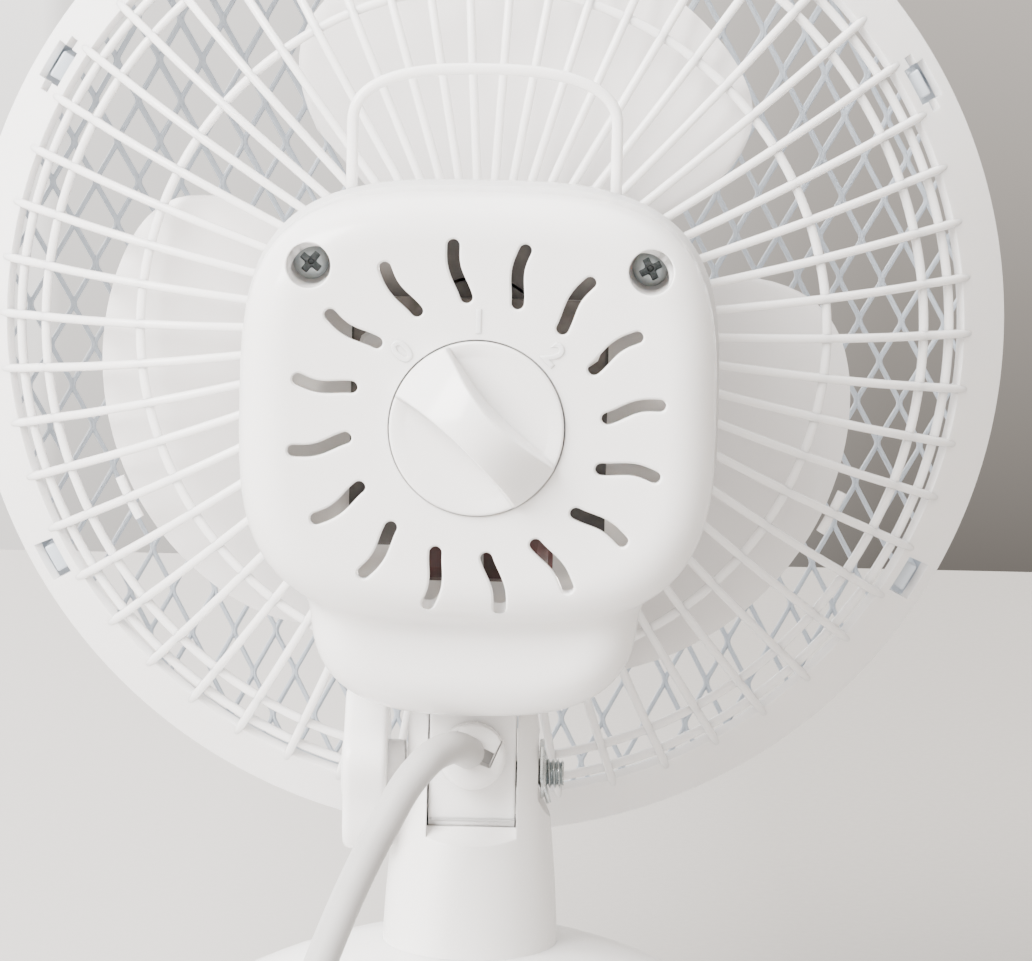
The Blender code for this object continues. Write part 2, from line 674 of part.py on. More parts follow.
def blade_lobe(middle):
    """One wide rounded blade: its edges twist from one side of the hub to the other."""
    across, outward = 8, 5
    root = HUB_R - 2 * MM
    bm = bmesh.new()
    rows = []
    for i in range(across + 1):
        u = 2 * i / across - 1
        tip = BLADE_R * (1 - 0.3 * abs(u) ** 5)
        row = []
        for j in range(outward + 1):
            v = j / outward
            r = root + (tip - root) * v
            spread = math.radians(26 + 17 * min(1, 1.5 * v))
            a = middle + spread * u
            twist = (9 - 3 * v) * MM * u
            y = BLADE_MID - 3 * MM + twist
            row.append(bm.verts.new((r * math.cos(a), y, AXIS_Z + r * math.sin(a))))
        rows.append(row)
    for one, two in zip(rows, rows[1:]):
        for j in range(outward):
            bm.faces.new((one[j], one[j + 1], two[j + 1], two[j]))
    lobe = mesh_object(bm)
    wall = lobe.modifiers.new("wall", "SOLIDIFY")
    wall.thickness = 1.5 * MM
    wall.offset = 0
    return lobe


def fan_blade():
    low, high = 9.8 * MM, 27 * MM
    rim = 3 * MM
    profile = [(0, high), (HUB_R - rim, high), (HUB_R, high - rim), (HUB_R, low), (0, low)]
    blade = turned(profile, (0, 0, AXIS_Z), "Y", 32)
    for middle in (85, 205, 325):
        join(blade, blade_lobe(math.radians(middle)))
    cut(blade, cylinder(SHAFT_BORE, 5 * MM, 25.6 * MM, (0, AXIS_Z), steps=32))
    part(blade, "fan_blade", MILKY, ROTOR)


# Guard ----------------------------------------------------------------------------------------

# Radius and depth of the rear guard's bowl
BOWL = [(0, 6.2), (41, 6.2), (58, 8.9), (70, 15.3), (75, 19.6), (80, 24.2), (90, 33.9)]
PLATE_Y = 6.2 * MM


def bowl_depth(r):
    for (r0, y0), (r1, y1) in zip(BOWL, BOWL[1:]):
        if r <= r1 * MM:
            return (y0 + (y1 - y0) * (r / MM - r0) / (r1 - r0)) * MM
    return BOWL[-1][1] * MM


def shell_radius(a):
    """How far the housing's outline is from the fan axis, in a direction."""
    reach = 0.0
    for half_w, half_h, mid_z, power in (
        (SHELL_HALF_W, SHELL_HALF_H, SHELL_Z, 3.3),
        (CHIN_HALF_W - 0.5 * MM, CHIN_HALF_H - 2 * MM, CHIN_Z, 2.8),
    ):
        drop = mid_z - AXIS_Z
        low, high = 0.0, 0.1
        for _ in range(30):
            r = (low + high) / 2
            x, z = r * math.cos(a), r * math.sin(a) - drop
            inside = (abs(x) / half_w) ** power + (abs(z) / half_h) ** power < 1
            low, high = (r, high) if inside else (low, r)
        reach = max(reach, low)
    return reach


def guard_rows(a):
    """Radii of the bars' edges along one direction, from the shaft hole out to the rim."""
    plate = shell_radius(a)
    inner_ring = max(RINGS["a"] - RING_W / 2, plate + 0.5 * MM)
    rows = [9 * MM, plate, inner_ring, inner_ring + RING_W]
    for name in ("b", "c"):
        rows += [RINGS[name] - RING_W / 2, RINGS[name] + RING_W / 2]
    return rows + [BAND_IN, BAND_OUT]


SOLID_ROWS = {0, 2, 4, 6, 8}  # rows of faces that go all the way round


def clip_block(a, low_r, high_r, half, rear, front):
    """A block in the guard's rim at an angle round the fan axis."""
    block = box((low_r, rear, -half), (high_r, front, half))
    mid_r = (low_r + high_r) / 2
    block.location = (mid_r * math.cos(a), (rear + front) / 2, AXIS_Z + mid_r * math.sin(a))
    block.rotation_euler = (0, -a, 0)
    return block


def rear_grille():
    pitch = 2 * math.pi / SPOKES
    bm = bmesh.new()
    sides = []
    for k in range(SPOKES):
        a = k * pitch
        rows = guard_rows(a)
        pair = []
        for sign in (-1, 1):
            line = []
            for index, r in enumerate(rows):
                swing = min(SPOKE_W / 2 / r, 0.3 * pitch)
                depth = PLATE_Y if index < 2 else bowl_depth(r)
                b = a + sign * swing
                line.append(bm.verts.new((r * math.cos(b), depth, AXIS_Z + r * math.sin(b))))
            pair.append(line)
        sides.append(pair)
    count = len(sides[0][0]) - 1
    for k in range(SPOKES):
        left, right = sides[k]
        following = sides[(k + 1) % SPOKES][0]
        for j in range(count):
            bm.faces.new((left[j], left[j + 1], right[j + 1], right[j]))
            if j in SOLID_ROWS:
                bm.faces.new((right[j], right[j + 1], following[j + 1], following[j]))
    grille = mesh_object(bm)
    wall = grille.modifiers.new("wall", "SOLIDIFY")
    wall.thickness = SPOKE_W
    wall.offset = 0
    for spot in GRILLE_SCREWS:
        cut(grille, cylinder(1.6 * MM, 3 * MM, 10 * MM, spot, steps=10))
    for a in CLIP_ANGLES:
        cut(grille, clip_block(a, WINDOW[0], WINDOW[1], 3.4 * MM, 20 * MM, 40 * MM))
    part(grille, "rear_grille", WHITE, HEAD)
    for k, (x, z) in enumerate(GRILLE_SCREWS):
        screw = screw_shape(2.6 * MM, 1.2 * MM, 1.2 * MM, 9.5 * MM, (x, 8.7 * MM, z), "Y")
        screw.rotation_euler = (math.pi / 2, 0, 0)
        part(screw, f"grille_screw_{k + 1}", STEEL, HEAD)


FRONT_RIM_Y = 44 * MM
FRONT_RISE = 20 * MM
MESH_IN = 84.5 * MM


def front_depth(r):
    return FRONT_RIM_Y + FRONT_RISE * (1 - min(r / MESH_IN, 1) ** 2)


def front_grille():
    """A dome of crossing strands, its rim and the skirt that meets the rear guard's band."""
    strand, across, along = 1.4 * MM, 16.5 * MM, 33 * MM  # width, and a cell's two diagonals
    spacing = 1 / math.hypot(1 / across, 1 / along)
    bm = bmesh.new()
    rim_r = GUARD_R - 0.85 * MM
    bmesh.ops.create_circle(bm, cap_ends=True, segments=60, radius=rim_r)
    outer = [e for e in bm.edges if e.is_boundary]
    skirt = bmesh.ops.extrude_edge_only(bm, edges=outer)["geom"]
    bmesh.ops.translate(
        bm, vec=(0, 0, -8.4 * MM), verts=[v for v in skirt if isinstance(v, bmesh.types.BMVert)]
    )
    disc = max(bm.faces, key=lambda f: len(f.verts))
    bmesh.ops.inset_region(bm, faces=[disc], thickness=rim_r - MESH_IN)
    inner = {disc}
    normals = [Vector((1 / across, sign / along, 0)).normalized() for sign in (-1, 1)]
    reach = int(MESH_IN / spacing)
    for normal in normals:
        for k in range(-reach, reach + 1):
            for edge in (-0.5, 0.5):
                geom = set(inner)
                for face in inner:
                    geom.update(face.edges)
                    geom.update(face.verts)
                found = bmesh.ops.bisect_plane(
                    bm, geom=list(geom), dist=1e-7,
                    plane_co=normal * (k * spacing + edge * strand), plane_no=normal,
                )["geom"]
                inner.update(f for f in found if isinstance(f, bmesh.types.BMFace))
    open_cells = []
    for face in inner:
        middle = face.calc_center_median()
        offsets = [abs(math.remainder(middle.dot(n), spacing)) for n in normals]
        if min(offsets) > strand / 2:
            open_cells.append(face)
    bmesh.ops.delete(bm, geom=open_cells, context="FACES")
    for v in bm.verts:
        level = v.co.z
        v.co.z = level + front_depth(math.hypot(v.co.x, v.co.y))
    upright = Matrix.Rotation(-math.pi / 2, 3, "X")
    bmesh.ops.rotate(bm, cent=(0, 0, 0), matrix=upright, verts=bm.verts)
    grille = mesh_object(bm, (0, 0, AXIS_Z))
    wall = grille.modifiers.new("wall", "SOLIDIFY")
    wall.thickness = 1.4 * MM
    wall.offset = 0
    middle_y = FRONT_RIM_Y + FRONT_RISE
    join(grille, cylinder(20 * MM, middle_y - 2.2 * MM, middle_y + 0.7 * MM, (0, AXIS_Z), steps=32))
    for a in CLIP_ANGLES:
        join(grille, clip_block(a, *TAB, 2.5 * MM, 28.2 * MM, FRONT_RIM_Y))
    part(grille, "front_grille", MESH_GREY, HEAD)
    face, edge = 3 * MM, 16.5 * MM
    profile = [(0, face), (0.8 * edge, 0.85 * face), (edge, 0.3 * face), (edge, 0), (0, 0)]
    badge = turned(profile, (0, middle_y + 0.7 * MM + GAP, AXIS_Z), "Y", 32)
    part(badge, "centre_badge", WHITE, HEAD)


# Mains lead -----------------------------------------------------------------------------------

# From just behind the gland to where the coil begins
CORD_ROUTE = [(x * MM, y * MM, z * MM) for x, y, z in (
    (0.4, -19.3, 69.2),
    (0.2, -22.0, 69.6),
    (-1.2, -26.0, 70.6),
    (-4.0, -30.0, 70.8),
    (-7.4, -33.0, 68.9),
    (-10.4, -35.6, 65.4),
    (-13.2, -38.8, 60.6),
    (-16.0, -42.4, 55.4),
    (-18.8, -46.8, 49.6),
    (-21.4, -52.2, 43.6),
    (-24.2, -57.8, 36.4),
    (-26.9, -63.4, 28.4),
    (-29.6, -69.0, 20.0),
    (-32.2, -74.4, 12.2),
    (-34.6, -79.4, 6.4),
)]

# From where the coil ends to the plug
TAIL_ROUTE = [(x * MM, y * MM, z * MM) for x, y, z in (
    (18.5, -141.0, 4.0),
    (23.6, -135.4, 4.6),
    (28.2, -129.8, 6.2),
    (31.7, -125.3, 7.2),
)]


def cord_gland():
    profile = [(r * MM, z * MM) for r, z in (
        (0, 5.9), (3.7, 5.9), (3.7, 4.2), (5.6, 4.2), (5.6, 0.8), (4.8, 0), (0, 0))]
    gland = turned(profile, (GLAND_X, GLAND_REAR, GLAND_Z), "Y", 24)
    part(gland, "cord_gland", WHITE, HEAD)


def cord():
    path = smooth_path(CORD_ROUTE, 2)
    part(tube(path, CORD_R), "power_cord", CORD_PVC, STAND)
    part(tube(smooth_path(TAIL_ROUTE, 2), CORD_R), "cord_tail", CORD_PVC, STAND)
    chamfer = 2 * MM
    profile = [
        (COIL_IN + chamfer, COIL_TOP), (COIL_OUT - chamfer, COIL_TOP), (COIL_OUT, COIL_TOP - chamfer),
        (COIL_OUT, COIL_BOTTOM + chamfer), (COIL_OUT - chamfer, COIL_BOTTOM),
        (COIL_IN + chamfer, COIL_BOTTOM), (COIL_IN, COIL_BOTTOM + chamfer), (COIL_IN, COIL_TOP - chamfer),
    ]
    coil = turned(profile, (COIL_X, COIL_Y, 0), steps=20, closed=True)
    part(coil, "cord_coil", CORD_PVC, STAND)


def cord_tie():
    half = 2 * MM
    band = 0.8 * MM
    low_r, high_r = COIL_IN - 2 * GAP, COIL_OUT + GAP
    low_z, high_z = COIL_BOTTOM - GAP, COIL_TOP + GAP
    mid_r = (low_r + high_r) / 2
    span = (high_r - low_r) / 2
    outer = box((-span - band, -half, low_z - band), (span + band, half, high_z + band))
    inner = box((-span, -2 * half, low_z), (span, 2 * half, high_z))
    turn = math.radians(54)
    for piece in (outer, inner):
        piece.location.x = COIL_X + mid_r * math.cos(turn)
        piece.location.y = COIL_Y + mid_r * math.sin(turn)
        piece.rotation_euler = (0, 0, turn)
    part(cut(outer, inner), "cord_tie", WHITE, STAND)


def plug():
    # Distance along the plug, half width and half height of each section
    sections = [
        (0.4, 3.1, 3.1), (10, 3.9, 3.9), (12.5, 7, 5.6), (20, 13.6, 6.7), (35, 14.6, 6.9),
        (36, 13.8, 6.2),
    ]
    rings = []
    for s, half_w, half_h in sections:
        outline = superellipse(half_w * MM, half_h * MM, 0, 2.6, 24)
        rings.append([(s * MM, y, z) for y, z in outline])
    body = loft(rings, PLUG_START, (0, 0, PLUG_TURN))
    part(body, "plug_body", WHITE, STAND)
    for name, side in (("plug_pin_left", 1), ("plug_pin_right", -1)):
        pin = cylinder(2 * MM, 36.3 * MM, 55 * MM, (side * 9.3 * MM, 0), "X", 16)
        local = Vector(pin.location)
        pin.location = PLUG_START + Matrix.Rotation(PLUG_TURN, 3, "Z") @ local
        pin.rotation_euler = (0, math.pi / 2, PLUG_TURN)
        part(pin, name, BRASS, STAND)


def inner_leads():
    route = [(x * MM, y * MM, z * MM) for x, y, z in (
        (0, -10.5, 67.4), (0, -10.5, 74), (0, -11.5, 81), (0, -18, 87), (0, -27, 93.5),
        (0, -31, 103), (0, -32.2, 114.1),
    )]
    part(tube(smooth_path(route, 3), 1.4 * MM, 1), "inner_leads", SWITCH_BLACK, HEAD)


base_shell()
base_plate()
base_feet()
base_screws()
neck()
clip_nut()
tilt_clamp()
motor_housing()
rear_cover()
speed_dial()
switch()
motor()
rotor()
fan_blade()
rear_grille()
front_grille()
cord_gland()
cord()
cord_tie()
plug()
inner_leads()
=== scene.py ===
"""Looks of the small table fan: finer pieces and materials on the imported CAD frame.

The frame is in metres, +Z up, and the fan blows towards +Y. Shapes are worked out in millimetres
in that frame, from the joints and boxes of the CAD, and scaled once when they become pieces.
"""

import json
import math

import bmesh
import bpy
import numpy as np
from mathutils import Matrix, Vector
from mathutils.geometry import delaunay_2d_cdt

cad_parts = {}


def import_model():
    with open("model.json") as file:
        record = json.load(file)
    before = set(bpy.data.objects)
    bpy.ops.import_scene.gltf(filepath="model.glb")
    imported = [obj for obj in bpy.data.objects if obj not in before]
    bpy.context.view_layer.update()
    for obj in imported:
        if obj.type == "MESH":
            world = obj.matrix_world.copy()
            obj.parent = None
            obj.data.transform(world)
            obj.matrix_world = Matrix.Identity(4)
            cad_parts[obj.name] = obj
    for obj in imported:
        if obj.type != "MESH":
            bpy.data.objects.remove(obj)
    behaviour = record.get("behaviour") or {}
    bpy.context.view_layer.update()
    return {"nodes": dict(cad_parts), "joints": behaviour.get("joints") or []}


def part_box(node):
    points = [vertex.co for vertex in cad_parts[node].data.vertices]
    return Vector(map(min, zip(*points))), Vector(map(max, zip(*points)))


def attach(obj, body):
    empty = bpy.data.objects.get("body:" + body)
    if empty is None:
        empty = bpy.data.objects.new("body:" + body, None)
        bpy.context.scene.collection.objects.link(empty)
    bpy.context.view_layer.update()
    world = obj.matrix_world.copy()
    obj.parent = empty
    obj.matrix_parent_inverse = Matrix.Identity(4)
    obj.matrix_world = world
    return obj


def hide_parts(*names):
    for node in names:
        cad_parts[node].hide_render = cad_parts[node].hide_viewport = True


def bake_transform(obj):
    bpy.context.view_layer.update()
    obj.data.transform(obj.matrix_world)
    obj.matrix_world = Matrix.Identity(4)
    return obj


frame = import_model()

MM = 0.001
TAU = 2 * math.pi
X, Y, Z = 0, 1, 2
JOINTS = {joint["name"]: joint for joint in frame["joints"]}


def low(node, axis):
    """Where a CAD node's box starts along an axis, in millimetres."""
    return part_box(node)[0][axis] / MM


def high(node, axis):
    """Where a CAD node's box ends along an axis, in millimetres."""
    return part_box(node)[1][axis] / MM


def placed(name, data):
    """A new object in the scene."""
    obj = bpy.data.objects.new(name, data)
    bpy.context.scene.collection.objects.link(obj)
    return obj


def full_turn(count):
    """Angles spaced evenly over a whole turn."""
    return np.arange(count) * TAU / count


def round_point(middle, radius, angle):
    """The two coordinates of a point at a radius and an angle round a middle."""
    return middle[0] + radius * math.cos(angle), middle[1] + radius * math.sin(angle)


# Driving dimensions, in millimetres -------------------------------------------------------------

AXIS_Z = JOINTS["fan_spin"]["pos_m"][Z] / MM
PIVOT_Y = JOINTS["head_tilt"]["pos_m"][Y] / MM
PIVOT_Z = JOINTS["head_tilt"]["pos_m"][Z] / MM
KNOB_Z = JOINTS["knob_turn"]["pos_m"][Z] / MM
PIVOT = (0, PIVOT_Y, PIVOT_Z)
FAN_AXIS = (0, 0, AXIS_Z)
COVER_REAR = low("rear_cover", Y)
SEAM_Y = high("rear_cover", Y) + 0.15
HOUSING_FRONT = high("motor_housing", Y)
GUARD_R = high("front_grille", X)
BASE_R = high("base_shell", X)
BASE_TOP = 36.5
WALL = 2.2

SHELL = (38.5, 35.0, AXIS_Z - 9, 3.3)  # half width, half height, middle, power of the outline
CHIN = (26.7, 19.3, AXIS_Z - 41, 2.8)
CHIN_REAR = COVER_REAR + 8
CHIN_FILLET = 1.3
HOUSING_CHIN = (CHIN[0] - 0.5, CHIN[1] - 2.0, *CHIN[2:])
COVER_SCREW = (27.4, AXIS_Z + 14)
SCREW_SEAT = COVER_REAR + 12
KNOB_R = 14.0
CORD_R = 2.7
GLAND_X, GLAND_Z = 0.0, PIVOT_Z + 4.5
TONGUE_REAR = PIVOT_Y - 9
GLAND_REAR = TONGUE_REAR - 4.5
COIL_MIDDLE = (-12.0, -113.0)


# Camera -----------------------------------------------------------------------------------------

def camera():
    """A long lens behind the fan and a little above it."""
    azimuth, elevation, roll = (math.radians(turn) for turn in (0.53, 6.32, 1.2))
    distance, target = 0.9, Vector((6.17, PIVOT_Y, 112.3)) * MM
    away = Vector((
        math.sin(azimuth) * math.cos(elevation),
        -math.cos(azimuth) * math.cos(elevation),
        math.sin(elevation),
    ))
    data = bpy.data.cameras.new("camera")
    data.sensor_width, data.lens = 36, 188.2
    data.clip_start, data.clip_end = 0.05, 20
    obj = placed("camera", data)
    obj.location = target + away * distance
    aim = (-away).to_track_quat("-Z", "Y").to_matrix()
    obj.rotation_euler = (aim @ Matrix.Rotation(roll, 3, "Z")).to_euler()
    bpy.context.scene.camera = obj


camera()


# Materials --------------------------------------------------------------------------------------

def shader_of(mat):
    """The material's Principled shader."""
    return next(n for n in mat.node_tree.nodes if n.type == "BSDF_PRINCIPLED")


def noise(mat, scale, detail=2.0):
    """A noise texture in the object's own space; its scale is in cells per millimetre."""
    tree = mat.node_tree
    place = tree.nodes.new("ShaderNodeTexCoord")
    texture = tree.nodes.new("ShaderNodeTexNoise")
    texture.inputs["Scale"].default_value = scale / MM
    texture.inputs["Detail"].default_value = detail
    tree.links.new(place.outputs["Object"], texture.inputs["Vector"])
    return texture


NOISE_LOW, NOISE_HIGH = 0.3, 0.7  # where a noise texture's values mostly lie


def ranged(mat, source, lowest, highest):
    """A texture's value, spread between two numbers."""
    node = mat.node_tree.nodes.new("ShaderNodeMapRange")
    node.inputs["From Min"].default_value = NOISE_LOW
    node.inputs["From Max"].default_value = NOISE_HIGH
    node.inputs["To Min"].default_value = lowest
    node.inputs["To Max"].default_value = highest
    mat.node_tree.links.new(source, node.inputs["Value"])
    return node.outputs["Result"]


def mixed(mat, factor, first, second):
    """Two colours mixed by a value."""
    ramp = mat.node_tree.nodes.new("ShaderNodeValToRGB")
    ends = ((NOISE_LOW, first), (NOISE_HIGH, second))
    for element, (position, colour) in zip(ramp.color_ramp.elements, ends):
        element.position, element.color = position, (*colour, 1)
    mat.node_tree.links.new(factor, ramp.inputs["Fac"])
    return ramp.outputs["Color"]


def bumped(mat, height, depth):
    """Bump of a depth in millimetres from a texture's value, onto the shader's normal."""
    tree = mat.node_tree
    bump = tree.nodes.new("ShaderNodeBump")
    bump.inputs["Distance"].default_value = depth * MM
    tree.links.new(height, bump.inputs["Height"])
    shader = shader_of(mat)
    if shader.inputs["Normal"].links:
        tree.links.new(shader.inputs["Normal"].links[0].from_socket, bump.inputs["Normal"])
    tree.links.new(bump.outputs["Normal"], shader.inputs["Normal"])


def finish_of(name, first, second, patch, rough, grain, depth, **sockets):
    """A material with patchy colour and roughness and a fine surface grain.

    patch and grain are noise scales in cells per millimetre, rough a lowest and a highest
    roughness, and depth the grain's height in millimetres.
    """
    mat = bpy.data.materials.new(name)
    mat.use_nodes = True
    shader = shader_of(mat)
    for socket, value in sockets.items():
        shader.inputs[socket.replace("_", " ")].default_value = value
    patches = noise(mat, patch)
    colour = mixed(mat, patches.outputs["Fac"], first, second)
    mat.node_tree.links.new(colour, shader.inputs["Base Color"])
    fine = noise(mat, grain, 3.0)
    mat.node_tree.links.new(ranged(mat, fine.outputs["Fac"], *rough), shader.inputs["Roughness"])
    bumped(mat, fine.outputs["Fac"], depth)
    return mat


def soft_edges(mat, radius):
    """Rounds the look of cut edges over a radius, under the material's own bump."""
    tree = mat.node_tree
    bevel = tree.nodes.new("ShaderNodeBevel")
    bevel.samples = 4
    bevel.inputs["Radius"].default_value = radius * MM
    first = next(n for n in tree.nodes if n.type == "BUMP" and not n.inputs["Normal"].links)
    tree.links.new(bevel.outputs["Normal"], first.inputs["Normal"])


def milky(mat, weight, radius):
    """Light that enters a little way, as in unfilled plastic."""
    shader = shader_of(mat)
    shader.inputs["Subsurface Weight"].default_value = weight
    shader.inputs["Subsurface Radius"].default_value = (1.0, 0.95, 0.9)
    shader.inputs["Subsurface Scale"].default_value = radius * MM


WHITE = finish_of(
    "white_abs", (0.835, 0.822, 0.812), (0.865, 0.853, 0.845), 0.03, (0.16, 0.23), 2.2, 0.004,
    IOR=1.5, Specular_IOR_Level=0.5,
)
milky(WHITE, 0.6, 1.4)
WHITE_CUT = finish_of(
    "white_abs_cut", (0.83, 0.815, 0.80), (0.86, 0.845, 0.832), 0.03, (0.2, 0.28), 2.2, 0.004,
    IOR=1.5,
)
soft_edges(WHITE_CUT, 0.35)
WHITE_DULL = finish_of(
    "white_abs_dull", (0.80, 0.79, 0.78), (0.84, 0.83, 0.82), 0.05, (0.3, 0.4), 3.0, 0.01, IOR=1.5,
)
BLADE = finish_of(
    "blade_pp", (0.78, 0.76, 0.75), (0.82, 0.80, 0.79), 0.02, (0.3, 0.42), 1.5, 0.008, IOR=1.49,
)
# grey-blue for the whole front guard: painted shade, for a guard whose rear side lies in shade
MESH_SHADE_GREY = finish_of(
    "mesh_grey", (0.47, 0.52, 0.58), (0.53, 0.58, 0.64), 0.03, (0.3, 0.42), 2.5, 0.008, IOR=1.5,
)
CORD_PVC = finish_of(
    "cord_pvc", (0.43, 0.42, 0.41), (0.48, 0.47, 0.46), 0.06, (0.36, 0.5), 1.6, 0.02, IOR=1.52,
)
ZINC = finish_of(
    "zinc", (0.42, 0.46, 0.47), (0.58, 0.60, 0.59), 0.5, (0.2, 0.42), 3.0, 0.015, Metallic=1.0,
)
# darker zinc: the cover screws' own dull zinc, and painted shade in the bolt thread's grooves
DULL_ZINC_AND_GROOVE_SHADE = finish_of(
    "zinc_dull_and_groove_shade", (0.24, 0.27, 0.28), (0.36, 0.39, 0.39), 0.5, (0.3, 0.5), 3.0, 0.02, Metallic=1.0,
)
STEEL = finish_of(
    "steel", (0.42, 0.42, 0.43), (0.52, 0.52, 0.52), 0.4, (0.28, 0.45), 2.5, 0.012, Metallic=1.0,
)
COIL_TAPE = finish_of(
    "coil_tape", (0.018, 0.008, 0.008), (0.045, 0.012, 0.013), 0.3, (0.3, 0.5), 1.0, 0.08, IOR=1.5,
)
BRONZE = finish_of(
    "bronze", (0.38, 0.25, 0.14), (0.5, 0.36, 0.22), 0.6, (0.35, 0.5), 4.0, 0.01, Metallic=1.0,
)
SWITCH_BLACK = finish_of(
    "switch_black", (0.022, 0.022, 0.023), (0.035, 0.035, 0.036), 0.2, (0.4, 0.55), 3.0, 0.01,
)
# dark zinc for the screws' cross recesses: painted shade in the recess
RECESS_SHADE = finish_of(
    "zinc_recess_painted_shade", (0.05, 0.058, 0.06), (0.11, 0.12, 0.12), 1.5, (0.35, 0.5), 4.0, 0.01, Metallic=1.0,
)
RUBBER = finish_of(
    "rubber", (0.10, 0.10, 0.10), (0.14, 0.14, 0.14), 0.3, (0.65, 0.85), 2.0, 0.03,
)
BRASS = finish_of(
    "pin_brass", (0.62, 0.56, 0.44), (0.72, 0.66, 0.52), 0.3, (0.18, 0.3), 3.0, 0.005, Metallic=1.0,
)


def lamination():
    """Stacked varnished sheets: stripes a sheet's thickness apart along Y."""
    sheet = 0.5
    mat = finish_of(
        "lamination", (0.035, 0.034, 0.035), (0.075, 0.07, 0.068), 0.2, (0.35, 0.6), 2.0, 0.02,
        Metallic=0.5,
    )
    tree = mat.node_tree
    place = tree.nodes.new("ShaderNodeTexCoord")
    wave = tree.nodes.new("ShaderNodeTexWave")
    wave.bands_direction = "Y"
    wave.inputs["Scale"].default_value = TAU / 20 / (sheet * MM)
    wave.inputs["Distortion"].default_value = 0.3
    tree.links.new(place.outputs["Object"], wave.inputs["Vector"])
    bumped(mat, wave.outputs["Fac"], 0.15)
    return mat


LAMINATION = lamination()
DARK_STEEL = finish_of(
    "dark_steel", (0.075, 0.068, 0.064), (0.13, 0.12, 0.115), 0.4, (0.35, 0.5), 2.5, 0.012, Metallic=0.6,
)


# Making shapes ----------------------------------------------------------------------------------

class Shape:
    """The points, in millimetres, and the faces of one piece."""

    def __init__(self):
        self.points = []
        self.faces = []
        self.count = 0

    def add(self, points, faces):
        """More points, and the faces between them by their place among these points."""
        points = np.asarray(points, float).reshape(-1, 3)
        self.faces += [tuple(i + self.count for i in face) for face in faces]
        self.points.append(points)
        self.count += len(points)
        return self

    def rows(self, grid, around=True, caps=True, along=False):
        """Quads through a grid of points: rows, places in a row, xyz.

        around closes each row, along joins the last row to the first, and caps fills the two ends.
        """
        grid = np.asarray(grid, float)
        count, places = grid.shape[:2]
        index = np.arange(count * places).reshape(count, places)
        one, two = (index, np.roll(index, -1, axis=0)) if along else (index[:-1], index[1:])
        quads = np.stack([one, two, np.roll(two, -1, axis=1), np.roll(one, -1, axis=1)], axis=-1)
        if not around:
            quads = quads[:, :-1]
        faces = [tuple(q) for q in quads.reshape(-1, 4).tolist()]
        if caps and not along:
            faces += [tuple(index[0][::-1].tolist()), tuple(index[-1].tolist())]
        return self.add(grid, faces)

    def mesh(self, name):
        """The shape as a mesh in metres, its faces turned outwards."""
        mesh = bpy.data.meshes.new(name)
        mesh.from_pydata((np.concatenate(self.points) * MM).tolist(), [], self.faces)
        bm = bmesh.new()
        bm.from_mesh(mesh)
        bmesh.ops.recalc_face_normals(bm, faces=bm.faces)
        bm.to_mesh(mesh)
        bm.free()
        return mesh


def piece(name, shape, body, mat, stands_for=(), sharp=38, normals=None, inset=None):
    """A shown piece from a Shape or a mesh, riding on a body.

    inset is a second material and the faces that take it.
    """
    mesh = shape if isinstance(shape, bpy.types.Mesh) else shape.mesh(name)
    mesh.name = name
    mesh.materials.clear()
    mesh.materials.append(mat)
    if inset:
        mesh.materials.append(inset[0])
        for face in inset[1]:
            mesh.polygons[face].material_index = 1
    mesh.shade_smooth()
    mesh.set_sharp_from_angle(angle=math.radians(sharp))
    if normals is not None:
        mesh.normals_split_custom_set_from_vertices(normals.tolist())
    obj = placed(name, mesh)
    if body:
        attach(obj, body)
    if stands_for:
        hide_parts(*stands_for)
    return obj


def softened(points, width, steps=4, closed=False):
    """A line in the plane with its corners rounded, each over a width along its two sides.

    width is one number, or one for each point; at 0 the corner stays sharp.
    """
    most = 0.48  # the share of a side that one corner may take
    points = [np.asarray(p, float) for p in points]
    widths = width if isinstance(width, (list, tuple)) else [width] * len(points)
    count = len(points)
    made = []
    for i, (corner, reach) in enumerate(zip(points, widths)):
        ends = not closed and i in (0, count - 1)
        if ends or not reach:
            made.append(corner)
            continue
        before, after = points[i - 1] - corner, points[(i + 1) % count] - corner
        a = before * min(reach / np.linalg.norm(before), most)
        b = after * min(reach / np.linalg.norm(after), most)
        for k in range(steps + 1):
            t = k / steps
            made.append(corner + a * (1 - t) ** 2 + b * t ** 2)
    return np.array(made)


def turned(profile, at, axis=Z, steps=96, ring=False, shape=None):
    """A turned solid from (radius, height) pairs; ring joins the profile's ends.

    A solid one starts and ends at a radius of 0.1, which its end caps close.
    """
    profile = np.asarray(profile, float)
    angles = full_turn(steps)
    r = np.maximum(profile[:, :1], 0.02)
    h = np.repeat(profile[:, 1:2], steps, axis=1)
    one, two = r * np.cos(angles), r * np.sin(angles)
    parts = {X: (h, one, two), Y: (one, h, two), Z: (one, two, h)}[axis]
    grid = np.stack(parts, axis=-1) + np.asarray(at, float)
    return (shape or Shape()).rows(grid, along=ring)


def drum(radius, start, end, at, axis, steps, shape=None):
    """A plain cylinder between two heights, to cut with or to join."""
    return turned([(0.1, start), (radius, start), (radius, end), (0.1, end)], at, axis, steps, shape=shape)


def ring_of(radius, count):
    """Points of a circle in the plane."""
    angles = full_turn(count)
    return np.stack([radius * np.cos(angles), radius * np.sin(angles)], axis=-1)


def rounded_box_section(half_w, half_h, power, count):
    """Points of a rounded rectangle; the higher the power, the squarer its corners."""
    angles = (np.arange(count) + 0.5) * TAU / count
    c, s = np.cos(angles), np.sin(angles)
    scale = (np.abs(c) ** power + np.abs(s) ** power) ** (-1 / power)
    return np.stack([half_w * c * scale, half_h * s * scale], axis=-1)


